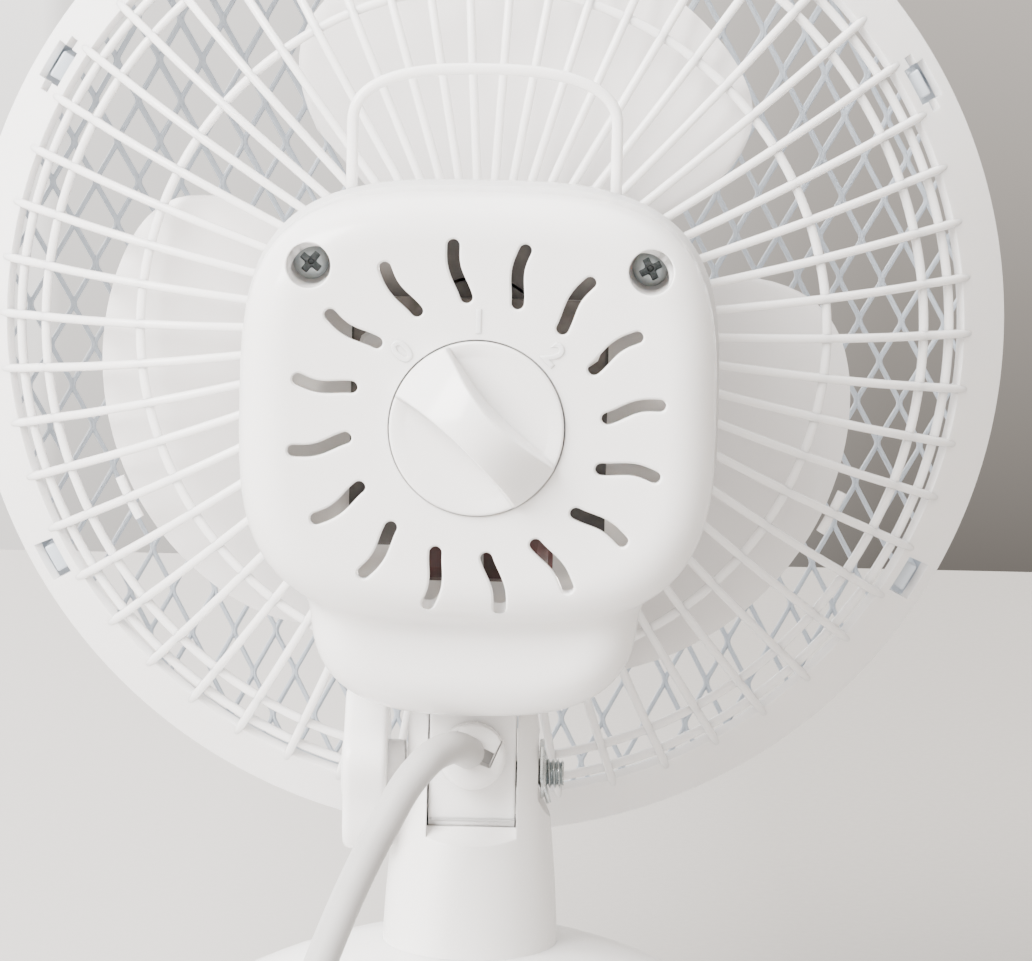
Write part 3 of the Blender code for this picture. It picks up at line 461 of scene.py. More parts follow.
def travel(path, side=None, closed=False):
    """Two normals at each point of a path, carried along it without twist."""
    path = np.asarray(path, float)
    if closed:
        along = np.roll(path, -1, axis=0) - np.roll(path, 1, axis=0)
    else:
        along = np.gradient(path, axis=0)
    along /= np.linalg.norm(along, axis=1)[:, None]
    first = np.zeros_like(along)
    guess = np.asarray(side if side is not None else np.eye(3)[np.argmin(np.abs(along[0]))], float)
    for i, t in enumerate(along):
        guess = guess - (guess @ t) * t
        guess /= np.linalg.norm(guess)
        first[i] = guess
    return first, np.cross(along, first)


def swept(path, section, shape=None, side=None, closed=False, scale=None):
    """A solid that carries a section (pairs along the two normals) down a path."""
    path = np.asarray(path, float)
    one, two = travel(path, side, closed)
    section = np.asarray(section, float)
    scale = np.ones(len(path)) if scale is None else np.asarray(scale, float)
    grid = path[:, None, :] + scale[:, None, None] * (
        section[None, :, :1] * one[:, None, :] + section[None, :, 1:] * two[:, None, :])
    return (shape or Shape()).rows(grid, along=closed)


def rounded_rod(path, section, shape, side=None):
    """A swept rod whose two ends are rounded off over the section's radius."""
    path = np.asarray(path, float)
    cap = float(np.abs(section).max())
    spans = np.cumsum([0, *np.linalg.norm(np.diff(path, axis=0), axis=1)])
    caps = cap * (1 - np.cos(np.linspace(0.15, 1, 4) * math.pi / 2))
    stops = np.unique(np.concatenate([[0], caps, spans[1:-1], spans[-1] - caps[::-1], [spans[-1]]]))
    line = np.stack([np.interp(stops, spans, path[:, k]) for k in range(3)], axis=-1)
    inset = np.minimum(np.minimum(stops, spans[-1] - stops), cap) / cap
    return swept(line, section, shape, side, scale=np.sqrt(np.maximum(1 - (1 - inset) ** 2, 0.003)))


def curve_through(points, per_span):
    """A Catmull-Rom curve through points."""
    points = [np.asarray(p, float) for p in points]
    ends = [2 * points[0] - points[1], *points, 2 * points[-1] - points[-2]]
    line = []
    for a, b, c, d in zip(ends, ends[1:], ends[2:], ends[3:]):
        for k in range(per_span):
            t = k / per_span
            line.append(0.5 * (2 * b + (c - a) * t + (2 * a - 5 * b + 4 * c - d) * t ** 2
                               + (3 * b - a - 3 * c + d) * t ** 3))
    line.append(points[-1])
    return np.array(line)


def block(low_corner, high_corner, round_by, shape=None, steps=3):
    """A box with rounded edges."""
    lo, hi = Vector(low_corner), Vector(high_corner)
    bm = bmesh.new()
    bmesh.ops.create_cube(bm, size=1)
    bmesh.ops.scale(bm, vec=hi - lo, verts=bm.verts)
    bmesh.ops.translate(bm, vec=(lo + hi) / 2, verts=bm.verts)
    bmesh.ops.bevel(bm, geom=bm.edges[:], offset=round_by, segments=steps, profile=0.5, affect="EDGES")
    bm.verts.index_update()
    points = [tuple(v.co) for v in bm.verts]
    faces = [tuple(v.index for v in f.verts) for f in bm.faces]
    bm.free()
    return (shape or Shape()).add(points, faces)


def grid_border(count, width):
    """The places round the edge of a grid of count rows."""
    index = np.arange(count * width).reshape(count, width)
    return [int(i) for i in (*index[0, :-1], *index[:-1, -1], *index[-1, :0:-1], *index[:0:-1, 0])]


def evaluated_mesh(obj):
    """A mesh of what an object's modifiers, or its text, come to."""
    bpy.context.view_layer.update()
    return bpy.data.meshes.new_from_object(obj.evaluated_get(bpy.context.evaluated_depsgraph_get()))


def carved(name, solid, cuts=(), unions=(), edge=0.0):
    """A mesh cut and joined by other shapes, with its sharp edges rounded by edge millimetres."""
    made = []

    def temporary(shape):
        made.append(placed("work", shape.mesh("work")))
        return made[-1]

    target = temporary(solid)
    for shapes, operation in ((unions, "UNION"), (cuts, "DIFFERENCE")):
        for shape in shapes:
            mod = target.modifiers.new(operation.lower(), "BOOLEAN")
            mod.operation = operation
            mod.solver = "EXACT"
            mod.object = temporary(shape)
    if edge:
        weld = target.modifiers.new("weld", "WELD")
        weld.merge_threshold = 0.02 * MM
        bevel = target.modifiers.new("bevel", "BEVEL")
        bevel.limit_method = "ANGLE"
        bevel.angle_limit = math.radians(42)
        bevel.width = edge * MM
        bevel.segments = 2
        bevel.use_clamp_overlap = True
    mesh = evaluated_mesh(target)
    mesh.name = name
    for obj in made:
        bpy.data.objects.remove(obj, do_unlink=True)
    return mesh


# Mains lead -------------------------------------------------------------------------------------

# From the gland to the table: the CAD lead's route, its first four points moved by up to 2 mm
LEAD_ROUTE = [
    (-0.6, -19.3, 68.5),
    (-1.3, -22.0, 69.3),
    (-2.9, -26.0, 70.4),
    (-5.2, -29.8, 70.2),
    (-7.4, -33.0, 68.9),
    (-10.4, -35.6, 65.4),
    (-13.2, -38.8, 60.6),
    (-16.0, -42.4, 55.4),
    (-18.8, -46.8, 49.6),
    (-21.4, -52.2, 43.6),
    (-24.2, -57.8, 36.4),
    (-26.9, -63.4, 28.4),
    (-29.6, -69.0, 20.0),
    (-32.2, -74.4, 12.2),
    (-34.6, -79.4, 6.4),
    (-37.8, -86.6, 3.9),
    (-42.4, -98.0, 3.9),
]
TAIL_ROUTE = [
    (18.5, -141.0, 4.0),
    (23.6, -135.4, 4.6),
    (28.2, -129.8, 6.2),
    (31.7, -125.3, 7.2),
    (33.4, -123.3, 7.2),
]
LOW_TURNS, HIGH_TURNS = 3.9, 9.3  # heights of the coil's two layers
TURN_RADII = (34.9, 29.5, 24.1)
PLUG_START = (31.9, -125.1, 7.2)
PLUG_TURN = math.radians(50)


def coil_turns():
    """The coil from its left side, anticlockwise: inwards on the table, then outwards on top."""
    stays = [(r, LOW_TURNS) for r in TURN_RADII] + [(r, HIGH_TURNS) for r in TURN_RADII[::-1]]
    start = math.radians(173)
    per_turn, shift = 40, 0.22  # points in a turn, and the share of it that moves to the next place
    points = []
    for turn, (radius, height) in enumerate(stays):
        following = stays[min(turn + 1, len(stays) - 1)]
        for k in range(per_turn):
            share = k / per_turn
            move = max(0.0, (share - 1 + shift) / shift)
            ease = move * move * (3 - 2 * move)
            r = radius + (following[0] - radius) * ease
            h = height + (following[1] - height) * ease
            a = start + share * TAU
            points.append((*round_point(COIL_MIDDLE, r, a), h))
    # the last part of a turn rolls off the coil to the table
    last, leave = math.radians(303), math.radians(252)
    apart = 2 * CORD_R  # how far apart the crossing turns' centrelines stay
    for a in np.linspace(start, last, 15):
        rolled = 6.8 * max(0.0, (a - leave) / (last - leave)) ** 1.5
        h = LOW_TURNS + math.sqrt(max(0.0, apart ** 2 - rolled ** 2))
        points.append((*round_point(COIL_MIDDLE, TURN_RADII[0] + rolled, a), h))
    return points


def lead():
    """The whole mains lead, from the gland, and what is on its end."""
    route = list(curve_through(LEAD_ROUTE, 3)) + coil_turns() + TAIL_ROUTE
    path = curve_through(route, 2)
    shape = swept(path, ring_of(CORD_R, 20))
    obj = piece(
        "mains_lead", shape, None, CORD_PVC, ("power_cord", "cord_tail", "cord_coil"),
    )
    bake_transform(obj)
    plug_body()
    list(plug_pins())
    coil_tie()


def along_plug(points):
    """Points given along, across and above the plug's axis, put in its place."""
    points = np.asarray(points, float)
    c, s = math.cos(PLUG_TURN), math.sin(PLUG_TURN)
    x, y, z = points[..., 0], points[..., 1], points[..., 2]
    return np.stack([
        PLUG_START[0] + c * x - s * y, PLUG_START[1] + s * x + c * y, PLUG_START[2] + z,
    ], axis=-1)


def plug_body():
    """The plug's moulding, from the lead's sleeve to its flat face."""
    # Distance along the plug, half width, half height
    stations = softened(
        [(0.4, 2.95), (0.4, 3.4), (11, 4.0), (13, 7.2), (20, 13.6), (35.6, 14.4), (35.6, 4)],
        [0, 0.5, 3, 3, 6, 1.2, 0], 5,
    )
    heights = softened(
        [(0.4, 2.95), (0.4, 3.4), (11, 4.0), (13, 5.8), (20, 6.6), (35.6, 6.9), (35.6, 2)],
        [0, 0.5, 3, 2, 4, 1.2, 0], 5,
    )
    rings = []
    for (s, half_w), (_, half_h) in zip(stations, heights):
        section = rounded_box_section(half_w, half_h, 2.7, 56)
        rings.append([(s, w, h) for w, h in section])
    shape = Shape().rows(along_plug(rings))
    # grip ribs on the body's two flat sides
    half_rib, rib_r, flat, fall = 7.5, 0.5, 6.55, 0.011
    for at in (22.5, 25.1, 27.7, 30.3):
        for side in (-1, 1):
            places = np.linspace(-half_rib, half_rib, 9)
            path = [(at, w, side * (flat - fall * w * w)) for w in places]
            rounded_rod(along_plug(path), ring_of(rib_r, 10), shape)
    return piece("plug_moulding", shape, "stand", WHITE_DULL, ("plug_body",))


def plug_pins():
    """Two round pins with their insulating sleeves."""
    made = []
    for name, side in (("plug_pin_left", 1), ("plug_pin_right", -1)):
        middle = side * 9.3
        sleeve = softened([(0.2, 36), (1.9, 36), (1.9, 46), (1.5, 46)], 0.3, 3)
        pin = softened([(0.2, 40), (2.0, 40), (2.0, 55), (0.2, 55)], [0, 0.2, 1.7, 0], 6)
        for profile, end, mat, stands_for, slot in (
            (pin, "brass", BRASS, (name,), "pin_brass"),
            (sleeve, "sleeve", SWITCH_BLACK, (), "switch_black"),
        ):
            grid = [[(s, middle + p, q) for p, q in ring_of(r, 28)] for r, s in profile]
            shape = Shape().rows(along_plug(grid))
            made.append(piece(f"{name}_{end}", shape, "stand", mat, stands_for))
    return made


def coil_tie():
    """A flat strap round the coil's section."""
    angle = math.radians(54)
    outward = np.array([math.cos(angle), math.sin(angle), 0])
    middle = np.array([*COIL_MIDDLE, 0]) + TURN_RADII[1] * outward
    half_r, low_z, high_z = 8.6, 0.7, 12.6
    loop = softened(
        [(-half_r, low_z), (half_r, low_z), (half_r, high_z), (-half_r, high_z)], 3.4, 5, True,
    )
    path = [middle + outward * u + np.array([0, 0, v]) for u, v in loop]
    along_lead = (-math.sin(angle), math.cos(angle), 0)
    shape = swept(path, rounded_box_section(1.9, 0.35, 4, 12), side=along_lead, closed=True)
    return piece("cord_tie_strap", shape, "stand", WHITE_DULL, ("cord_tie",))


def strain_relief():
    """The two-part bush that holds the lead where it leaves the tongue."""
    at = (GLAND_X, GLAND_REAR, GLAND_Z)
    profile = softened(
        [(0.1, 5.9), (3.7, 5.9), (3.7, 4.2), (5.6, 4.2), (5.6, 0.9), (4.9, 0), (0.1, 0)],
        [0, 0.2, 0.2, 0.3, 0.4, 0.5, 0], 3,
    )
    bush = turned(profile, at, Y, 64)

    def prism(outline, *depths):
        return Shape().rows([
            [(GLAND_X + x, GLAND_REAR + depth, GLAND_Z + z) for x, z in outline] for depth in depths])

    # the mouth that the lead comes out of, and the raised clip over it
    mouth_depth = 3.8
    mouth = prism(
        [(-4.8, 1.2), (-1.7, 0.05), (2.8, -1.65), (3.7, 0.83), (1.45, 1.86), (-2.4, 4.5), (-4.6, 3.4)],
        -2, mouth_depth,
    )
    clip = prism(
        [(-2.2, 5.2), (-0.5, 5.65), (1.5, 5.45), (3.1, 4.75), (4.1, 3.9), (4.7, 2.8), (3.75, 0.9),
         (1.45, 1.9), (-2.4, 4.5)],
        -0.5, 1.2,
    )
    split = prism([(4.72, 2.85), (4.9, 2.75), (3.05, -1.6), (2.87, -1.52)], -1, 2.5)
    mesh = carved("cord_bush", bush, [mouth, split], [clip], edge=0.1)
    # the faces on the mouth's floor take the cord's darker grey: painted shade for the dark hollow behind the
    # mouth
    hollow = [
        face.index for face in mesh.polygons
        if abs(face.center.y / MM - GLAND_REAR - mouth_depth) < 0.15 and abs(face.normal.y) > 0.9
        and math.hypot(face.center.x / MM - GLAND_X, face.center.z / MM - GLAND_Z) < 4.5
    ]
    piece("cord_bush", mesh, "head", WHITE_CUT, ("cord_gland",),
          inset=(CORD_PVC, hollow))


# Base and neck ----------------------------------------------------------------------------------

SPIGOT_HOLE_R = 14.66
PLATE_R, PLATE_LOW = 67.3, 2.6
PLATE_SCREW_R, NECK_SCREW_R, FOOT_R = 45, 16.5, 57


def dome_height(r):
    """Height of the base's top over a radius."""
    rim = 6
    return rim + (BASE_TOP - rim) * (1 - np.minimum(r / BASE_R, 1) ** 1.9)


def base():
    """The domed shell, its floor plate, four feet and the screws that hold it together."""
    outer_part = BASE_R * np.sin(np.linspace(0.68, 0.98, 20) * math.pi / 2)
    radii = np.unique(np.concatenate([np.linspace(0.1, 60, 40), outer_part]).round(3))
    outside = [(r, float(dome_height(r))) for r in radii]
    inner_r, under = BASE_R - WALL, 2.1
    edge = softened(
        [outside[-1], (BASE_R, 6.6), (BASE_R, PLATE_LOW), (inner_r, PLATE_LOW)],
        [0, 1.0, 0.5, 0.3], 4,
    )
    inside = [(r - 0.8, float(dome_height(r)) - under) for r in radii[::-1] if r < BASE_R - 2]
    profile = [*outside[:-1], *edge, (inner_r, 5.2), *inside, (0.1, BASE_TOP - under)]
    hole = drum(SPIGOT_HOLE_R, 20, 45, (0, PIVOT_Y, 0), Z, 128)
    mesh = carved("base_dome", turned(profile, (0, 0, 0), Z, 160), [hole])
    piece("base_dome", mesh, "stand", WHITE, ("base_shell",), sharp=50)

    plate = turned(
        softened([(0.1, PLATE_LOW), (PLATE_R, PLATE_LOW), (PLATE_R, 4.8), (0.1, 4.8)],
                 [0, 0.5, 0.5, 0], 3),
        (0, 0, 0), Z, 160,
    )
    groove = turned([(30.2, 3.3), (30.2, 1.5), (31.4, 1.5), (31.4, 3.3)], (0, 0, 0), Z, 96, ring=True)
    screw_spots = [(*round_point((0, 0), PLATE_SCREW_R, math.radians(a)), 0) for a in (90, 210, 330)]
    mesh = carved("base_floor", plate, [groove, *(drum(3.6, 3.4, 1, at, Z, 32) for at in screw_spots)])
    piece("base_floor", mesh, "stand", WHITE_DULL, ("base_plate",))

    foot = softened([(0.1, 2.3), (6, 2.3), (6, 0.0), (4.2, 0.0), (3.6, 0.35), (0.1, 0.35)],
                    [0, 0.3, 0.6, 0.3, 0.3, 0], 4)
    for k in range(4):
        spot = (*round_point((0, 0), FOOT_R, math.radians(45 + 90 * k)), 0)
        piece(f"foot_pad_{k + 1}", turned(foot, spot, Z, 48), "stand", RUBBER,
              (f"rubber_foot_{k + 1}",))

    head_low = 1.2
    for kind, radius, first, middle in (
        ("plate_screw", PLATE_SCREW_R, 90, (0, 0)), ("neck_screw", NECK_SCREW_R, 30, (0, PIVOT_Y)),
    ):
        for k in range(3):
            at = (*round_point(middle, radius, math.radians(first + 120 * k)), head_low)
            shape, inset = screw(2.8, 1.1, 1.25, 10, at, Z)
            piece(f"{kind}_{k + 1}_cross", shape, "stand", STEEL, (f"{kind}_{k + 1}",),
                  inset=inset)


def screw(head_r, head_h, shank_r, length, at, axis, turn=0.0):
    """A pan-head screw with a cross recess.

    Its head starts at the point and its shank runs along +axis. Returns the mesh, and the darker
    material that paints shade into the cross recess, with the recess's faces.
    """
    profile = softened(
        [(0.1, 0), (0.7 * head_r, 0.0), (head_r, 0.4 * head_h), (head_r, head_h), (shank_r, head_h),
         (shank_r, length - shank_r), (0.1, length)],
        [0, 0.3 * head_r, 0.3 * head_h, 0.1, 0, 0.2, 0], 4,
    )
    arm, reach, deep = 0.2 * head_r, 0.64 * head_r, 0.62 * head_h
    cone = [(0.1, 0.85 * head_h), (0.14 * head_r, 0.8 * head_h), (0.36 * head_r, -0.1), (0.1, -0.1)]
    cuts = [
        block((-reach, -arm, -1), (reach, arm, deep), 0.3 * arm, steps=2),
        block((-arm, -reach, -1), (arm, reach, deep), 0.3 * arm, steps=2),
        turned(cone, (0, 0, 0), Z, 32),
    ]
    mesh = carved("screw", turned(profile, (0, 0, 0), Z, 72), cuts)
    # the cross recess's faces take the dark zinc: painted shade inside the recess
    recess = [
        face.index for face in mesh.polygons
        if 0.12 * head_h < face.center.z / MM < 0.95 * head_h
        and math.hypot(face.center.x, face.center.y) / MM < 0.66 * head_r
    ]
    aim = {Y: Matrix.Rotation(-math.pi / 2, 4, "X"), Z: Matrix.Identity(4)}[axis]
    spin = Matrix.Rotation(math.radians(turn), 4, "Z")
    mesh.transform(Matrix.Translation(Vector(at) * MM) @ aim @ spin)
    return mesh, (RECESS_SHADE, recess)


def neck():
    """The round neck, with the crowned top and the slot that the head's tongue tilts in."""
    outer = softened(
        [(0.1, 13.2), (8.5, 13.2), (10.2, 12), (10.9, 9), (11.6, 3), (12.3, -1), (12.9, -5),
         (13.6, -12), (14.2, -19), (14.8, -30), (15, -42), (15, -49.9), (21, -49.9), (21, -57.9),
         (0.1, -57.9)],
        [0, 1, 1, 2, 2, 2, 2, 3, 3, 5, 3, 0, 0, 0, 0], 4,
    )
    column = turned(outer, PIVOT, Z, 128)
    reach, crown_r = 25, 12.6

    def from_pivot(half_width, low_spot, high_spot, round_by, steps=3):
        """A block across the neck, from one (y, z) spot to another, both from the pivot."""
        return block((-half_width, PIVOT_Y + low_spot[0], PIVOT_Z + low_spot[1]),
                     (half_width, PIVOT_Y + high_spot[0], PIVOT_Z + high_spot[1]), round_by, steps=steps)

    # what lies outside the crown's round top, above the pivot
    around_crown = turned(
        [(crown_r, -reach), (crown_r, reach), (40, reach), (40, -reach)], PIVOT, X, 96, ring=True)
    below_pivot = from_pivot(reach, (-reach, -60), (reach, 0), 0.01, steps=1)
    mesh = carved("work", around_crown, [below_pivot])
    crown = Shape().add([v.co / MM for v in mesh.vertices], [tuple(f.vertices) for f in mesh.polygons])
    # the tongue's slot: open above the pivot, round below it, with a sloping lip at the rear
    half, sweep = 7.45, 11.25
    notch = from_pivot(half, (-reach, -2), (reach, reach), 0.3)
    swing = drum(sweep, -half, half, PIVOT, X, 96)
    lip_y, lip_z, slope = -8.0, -8.0, 0.45
    lip = from_pivot(half, (-20, lip_z), (lip_y, 0), 0.05, steps=1)
    corners = lip.points[0]
    lower = corners[:, 2] < PIVOT_Z + lip_z / 2
    corners[lower, 2] += slope * (corners[lower, 1] - PIVOT_Y - lip_y)
    fore = from_pivot(half, (0, -9), (reach, 0), 0.3)
    hollow = drum(11.5, -17, -60, PIVOT, Z, 64)
    bolt_hole = drum(2.75, -reach, reach, PIVOT, X, 40)
    flats = [drum(7.2, side * 10.95, side * 20, PIVOT, X, 64) for side in (-1, 1)]
    cuts = [crown, notch, swing, lip, fore, hollow, bolt_hole, *flats]
    mesh = carved("neck_post", column, cuts, edge=0.3)
    piece("neck_post", mesh, "stand", WHITE_CUT, ("neck_column",), sharp=40)


def round_tilt_axis(x, r, angles):
    """Points from their place along the tilt axis, their radius and their angle about it."""
    return np.stack(
        np.broadcast_arrays(x, PIVOT_Y + r * np.cos(angles), PIVOT_Z + r * np.sin(angles)), axis=-1)


def tilt_clamp():
    """The five-lobed hand knob and the bolt that turns with it."""
    angles = full_turn(180)
    lobes, middle_r, swing = 5, 13.1, 1.1
    radius = middle_r + swing * np.cos(lobes * (angles - math.pi / 2))
    to_axis = 13
    side = softened([(-to_axis, -21.5), (0, -21.5), (0, -14.2), (-to_axis, -14.2)], [0, 1.6, 1.2, 0], 6)
    least = 0.4
    radii = [np.maximum(radius + inset, least) if inset > 1 - to_axis else least for inset, _ in side]
    shape = Shape().rows([round_tilt_axis(x, r, angles) for (_, x), r in zip(side, radii)])
    for profile in (
        [(0.1, -15), (5.2, -15), (5.2, -11.3), (2.7, -11.3)],
        [(0.1, -22.0), (4.6, -22.0), (5.4, -21.0), (0.1, -21.0)],
    ):
        turned(softened(profile, 0.4, 3), PIVOT, X, 64, shape=shape)
    piece("tilt_handwheel", shape, "clamp", WHITE, ("tilt_knob",))

    # the bolt: an M5 thread, chamfered at its end
    pitch, major, minor, chamfer_x = 0.8, 2.5, 1.88, 14.7
    around = 40
    angles = full_turn(around)
    grid, grooves = [], []
    for row, x in enumerate(np.arange(-17.0, 15.3001, pitch / 10)):
        phase = (x / pitch - angles / TAU) % 1
        tooth = np.clip(1.25 - np.abs(phase - 0.5) * 3.0, 0, 1)
        r = minor + (major - minor) * tooth
        grid.append(round_tilt_axis(x, np.minimum(r, major - max(0.0, x - chamfer_x)), angles))
        # faces in the thread's grooves take the darker zinc: painted shade between the teeth
        grooves += [row * around + int(k) for k in np.flatnonzero(tooth < 0.2)]
    grooves = [face for face in grooves if face < (len(grid) - 1) * around]
    piece("tilt_bolt_thread", Shape().rows(grid), "clamp", ZINC, ("tilt_bolt",), sharp=25,
          inset=(DULL_ZINC_AND_GROOVE_SHADE, grooves))


def nut():
    """A bent sheet-steel nut, its lower leg narrowing and flared away from the neck."""
    line = curve_through(
        [(11.5, 5.1), (11.5, 2.5), (11.5, 0.3), (11.6, -1.0), (12.1, -2.4), (12.8, -4.9)], 4)
    path = [(x, PIVOT_Y, PIVOT_Z + z) for x, z in line]
    half_width, half_thickness, leg = 4.4, 0.42, 5
    narrow = 1 - 0.75 * np.clip(-line[:, 1] / leg, 0, 1) ** 1.4
    one, two = travel(path, (0, 1, 0))
    rings = [
        [np.array(p) + u * n * a + v * b for u, v in rounded_box_section(half_width, half_thickness, 5, 24)]
        for p, a, b, n in zip(path, one, two, narrow)
    ]
    shape = Shape().rows(rings)
    turned(
        softened([(2.6, 11.4), (4.3, 11.4), (3.9, 12.2), (2.6, 12.4)], 0.2, 3, True),
        PIVOT, X, 48, ring=True, shape=shape,
    )
    piece("clip_nut_bent", shape, "stand", ZINC, ("clip_nut",))


# Motor shells -----------------------------------------------------------------------------------

def prism_level(p, outline, face, edge, toward):
    """About how far points are outside a prism with one rounded rim, in millimetres.

    face is the depth of its flat end, on the side that toward (-1 rear, 1 front) says.
    """
    half_w, half_h, middle, power = outline
    x, y, z = p[..., 0], p[..., 1], p[..., 2] - middle
    q = (np.abs(x / half_w) ** power + np.abs(z / half_h) ** power + 1e-12) ** (1 / power)
    out = (q - 1) * np.hypot(x, z) / np.maximum(q, 1e-6)
    bend = 2.2  # the power of the rim's rounding
    a = np.maximum(out + edge, 0) / edge
    b = np.maximum(toward * (y - face) + edge, 0) / edge
    return ((a ** bend + b ** bend + 1e-12) ** (1 / bend) - 1) * edge


def merged_level(one, two, blend):
    """A union of two levels with a hollow fillet."""
    return -blend * np.logaddexp(-one / blend, -two / blend)


def cover_level(p):
    """How far points are outside the rear cover: its squared body with the chin below."""
    body = prism_level(p, SHELL, COVER_REAR, 8.5, -1)
    chin = prism_level(p, CHIN, CHIN_REAR, 8.0, -1)
    return merged_level(body, chin, CHIN_FILLET)


def housing_level(p):
    """How far points are outside the front shell, with the lip that overlaps the cover."""
    body = prism_level(p, SHELL, HOUSING_FRONT, 3.0, 1)
    chin = prism_level(p, HOUSING_CHIN, HOUSING_FRONT, 3.0, 1)
    lip_h, lip_length = 0.9, 6
    lip = lip_h * np.clip(1 - (p[..., 1] - SEAM_Y) / lip_length, 0, 1) ** 2
    return merged_level(body, chin, CHIN_FILLET) - lip


class Skin:
    """The outside of a shell, seen from a point on the knob's axis in the seam's plane.

    Its flat map has the surface's own length from the axis outwards, at each angle round it, so
    shapes near the axis keep their form.
    """

    def __init__(self, level, depth, toward):
        self.level, self.toward = level, toward
        self.centre = np.array([0.0, depth, KNOB_Z])
        turns, tilts, self.steps = 360, 260, 200
        around = np.arange(turns + 1) * TAU / turns
        tilt = np.linspace(0, math.pi / 2, tilts)
        a, t = np.meshgrid(around, tilt, indexing="ij")
        ray = np.stack([np.cos(a) * np.sin(t), toward * np.cos(t), np.sin(a) * np.sin(t)], axis=-1)
        farthest, halvings = 90.0, 34
        near, far = np.zeros(a.shape), np.full(a.shape, farthest)
        for _ in range(halvings):
            middle = (near + far) / 2
            inside = level(self.centre + ray * middle[..., None]) < 0
            near, far = np.where(inside, middle, near), np.where(inside, far, middle)
        radius, depth_out = near * np.sin(t), near * np.cos(t)
        step = np.hypot(np.diff(radius, axis=1), np.diff(depth_out, axis=1))
        length = np.concatenate([np.zeros((turns + 1, 1)), np.cumsum(step, axis=1)], axis=1)
        self.total = length[:, -1]
        share = np.linspace(0, 1, self.steps + 1)
        self.radius = np.array([np.interp(share * s[-1], s, r) for s, r in zip(length, radius)])
        self.depth = np.array([np.interp(share * s[-1], s, d) for s, d in zip(length, depth_out)])

    def between(self, rows, angle, share):
        """A table's value between the angles and shares that it holds."""
        i = np.mod(angle, TAU) / TAU * (len(self.total) - 1)
        j = np.clip(share, 0, 1) * self.steps
        i0 = np.minimum(i.astype(int), len(self.total) - 2)
        j0 = np.minimum(j.astype(int), self.steps - 1)
        u, v = i - i0, j - j0
        return ((1 - u) * ((1 - v) * rows[i0, j0] + v * rows[i0, j0 + 1])
                + u * ((1 - v) * rows[i0 + 1, j0] + v * rows[i0 + 1, j0 + 1]))

    def edge(self, angle):
        """The map's own edge, at the seam."""
        around = np.linspace(0, TAU, len(self.total))
        return np.interp(np.mod(angle, TAU), around, self.total)

    def place(self, spots):
        """Points on the surface for points of the map."""
        spots = np.asarray(spots, float)
        angle = np.arctan2(spots[:, 1], spots[:, 0])
        share = np.hypot(spots[:, 0], spots[:, 1]) / self.edge(angle)
        r, d = self.between(self.radius, angle, share), self.between(self.depth, angle, share)
        return np.stack([
            r * np.cos(angle), self.centre[1] + self.toward * d, KNOB_Z + r * np.sin(angle)], axis=-1)

    def map_of(self, outline):
        """Points of the map under points given in XZ, near the axis side of the rim."""
        spots = []
        for x, z in outline:
            angle, reach = math.atan2(z - KNOB_Z, x), math.hypot(x, z - KNOB_Z)
            shares = np.linspace(0, 1, self.steps + 1)
            radii = self.between(self.radius, np.full(len(shares), angle), shares)
            share = float(np.interp(reach, radii, shares))
            length = share * float(self.edge(np.array([angle]))[0])
            spots.append((length * math.cos(angle), length * math.sin(angle)))
        return spots

    def normals(self, points):
        """Which way the surface faces, from the level's slope."""
        step = 0.02
        slopes = [self.level(points + step * axis) - self.level(points - step * axis) for axis in np.eye(3)]
        normal = np.stack(slopes, axis=-1)
        return normal / np.linalg.norm(normal, axis=1)[:, None]


def inside_loop(spots, loop):
    """Which points lie inside a closed loop in the plane."""
    loop = np.asarray(loop)
    x, y = spots[:, :1], spots[:, 1:]
    x0, y0 = loop[:, 0], loop[:, 1]
    x1, y1 = np.roll(x0, -1), np.roll(y0, -1)
    crosses = (y0 > y) != (y1 > y)
    with np.errstate(divide="ignore", invalid="ignore"):
        at = x0 + (y - y0) * (x1 - x0) / (y1 - y0)
    return (crosses & (x < at)).sum(axis=1) % 2 == 1


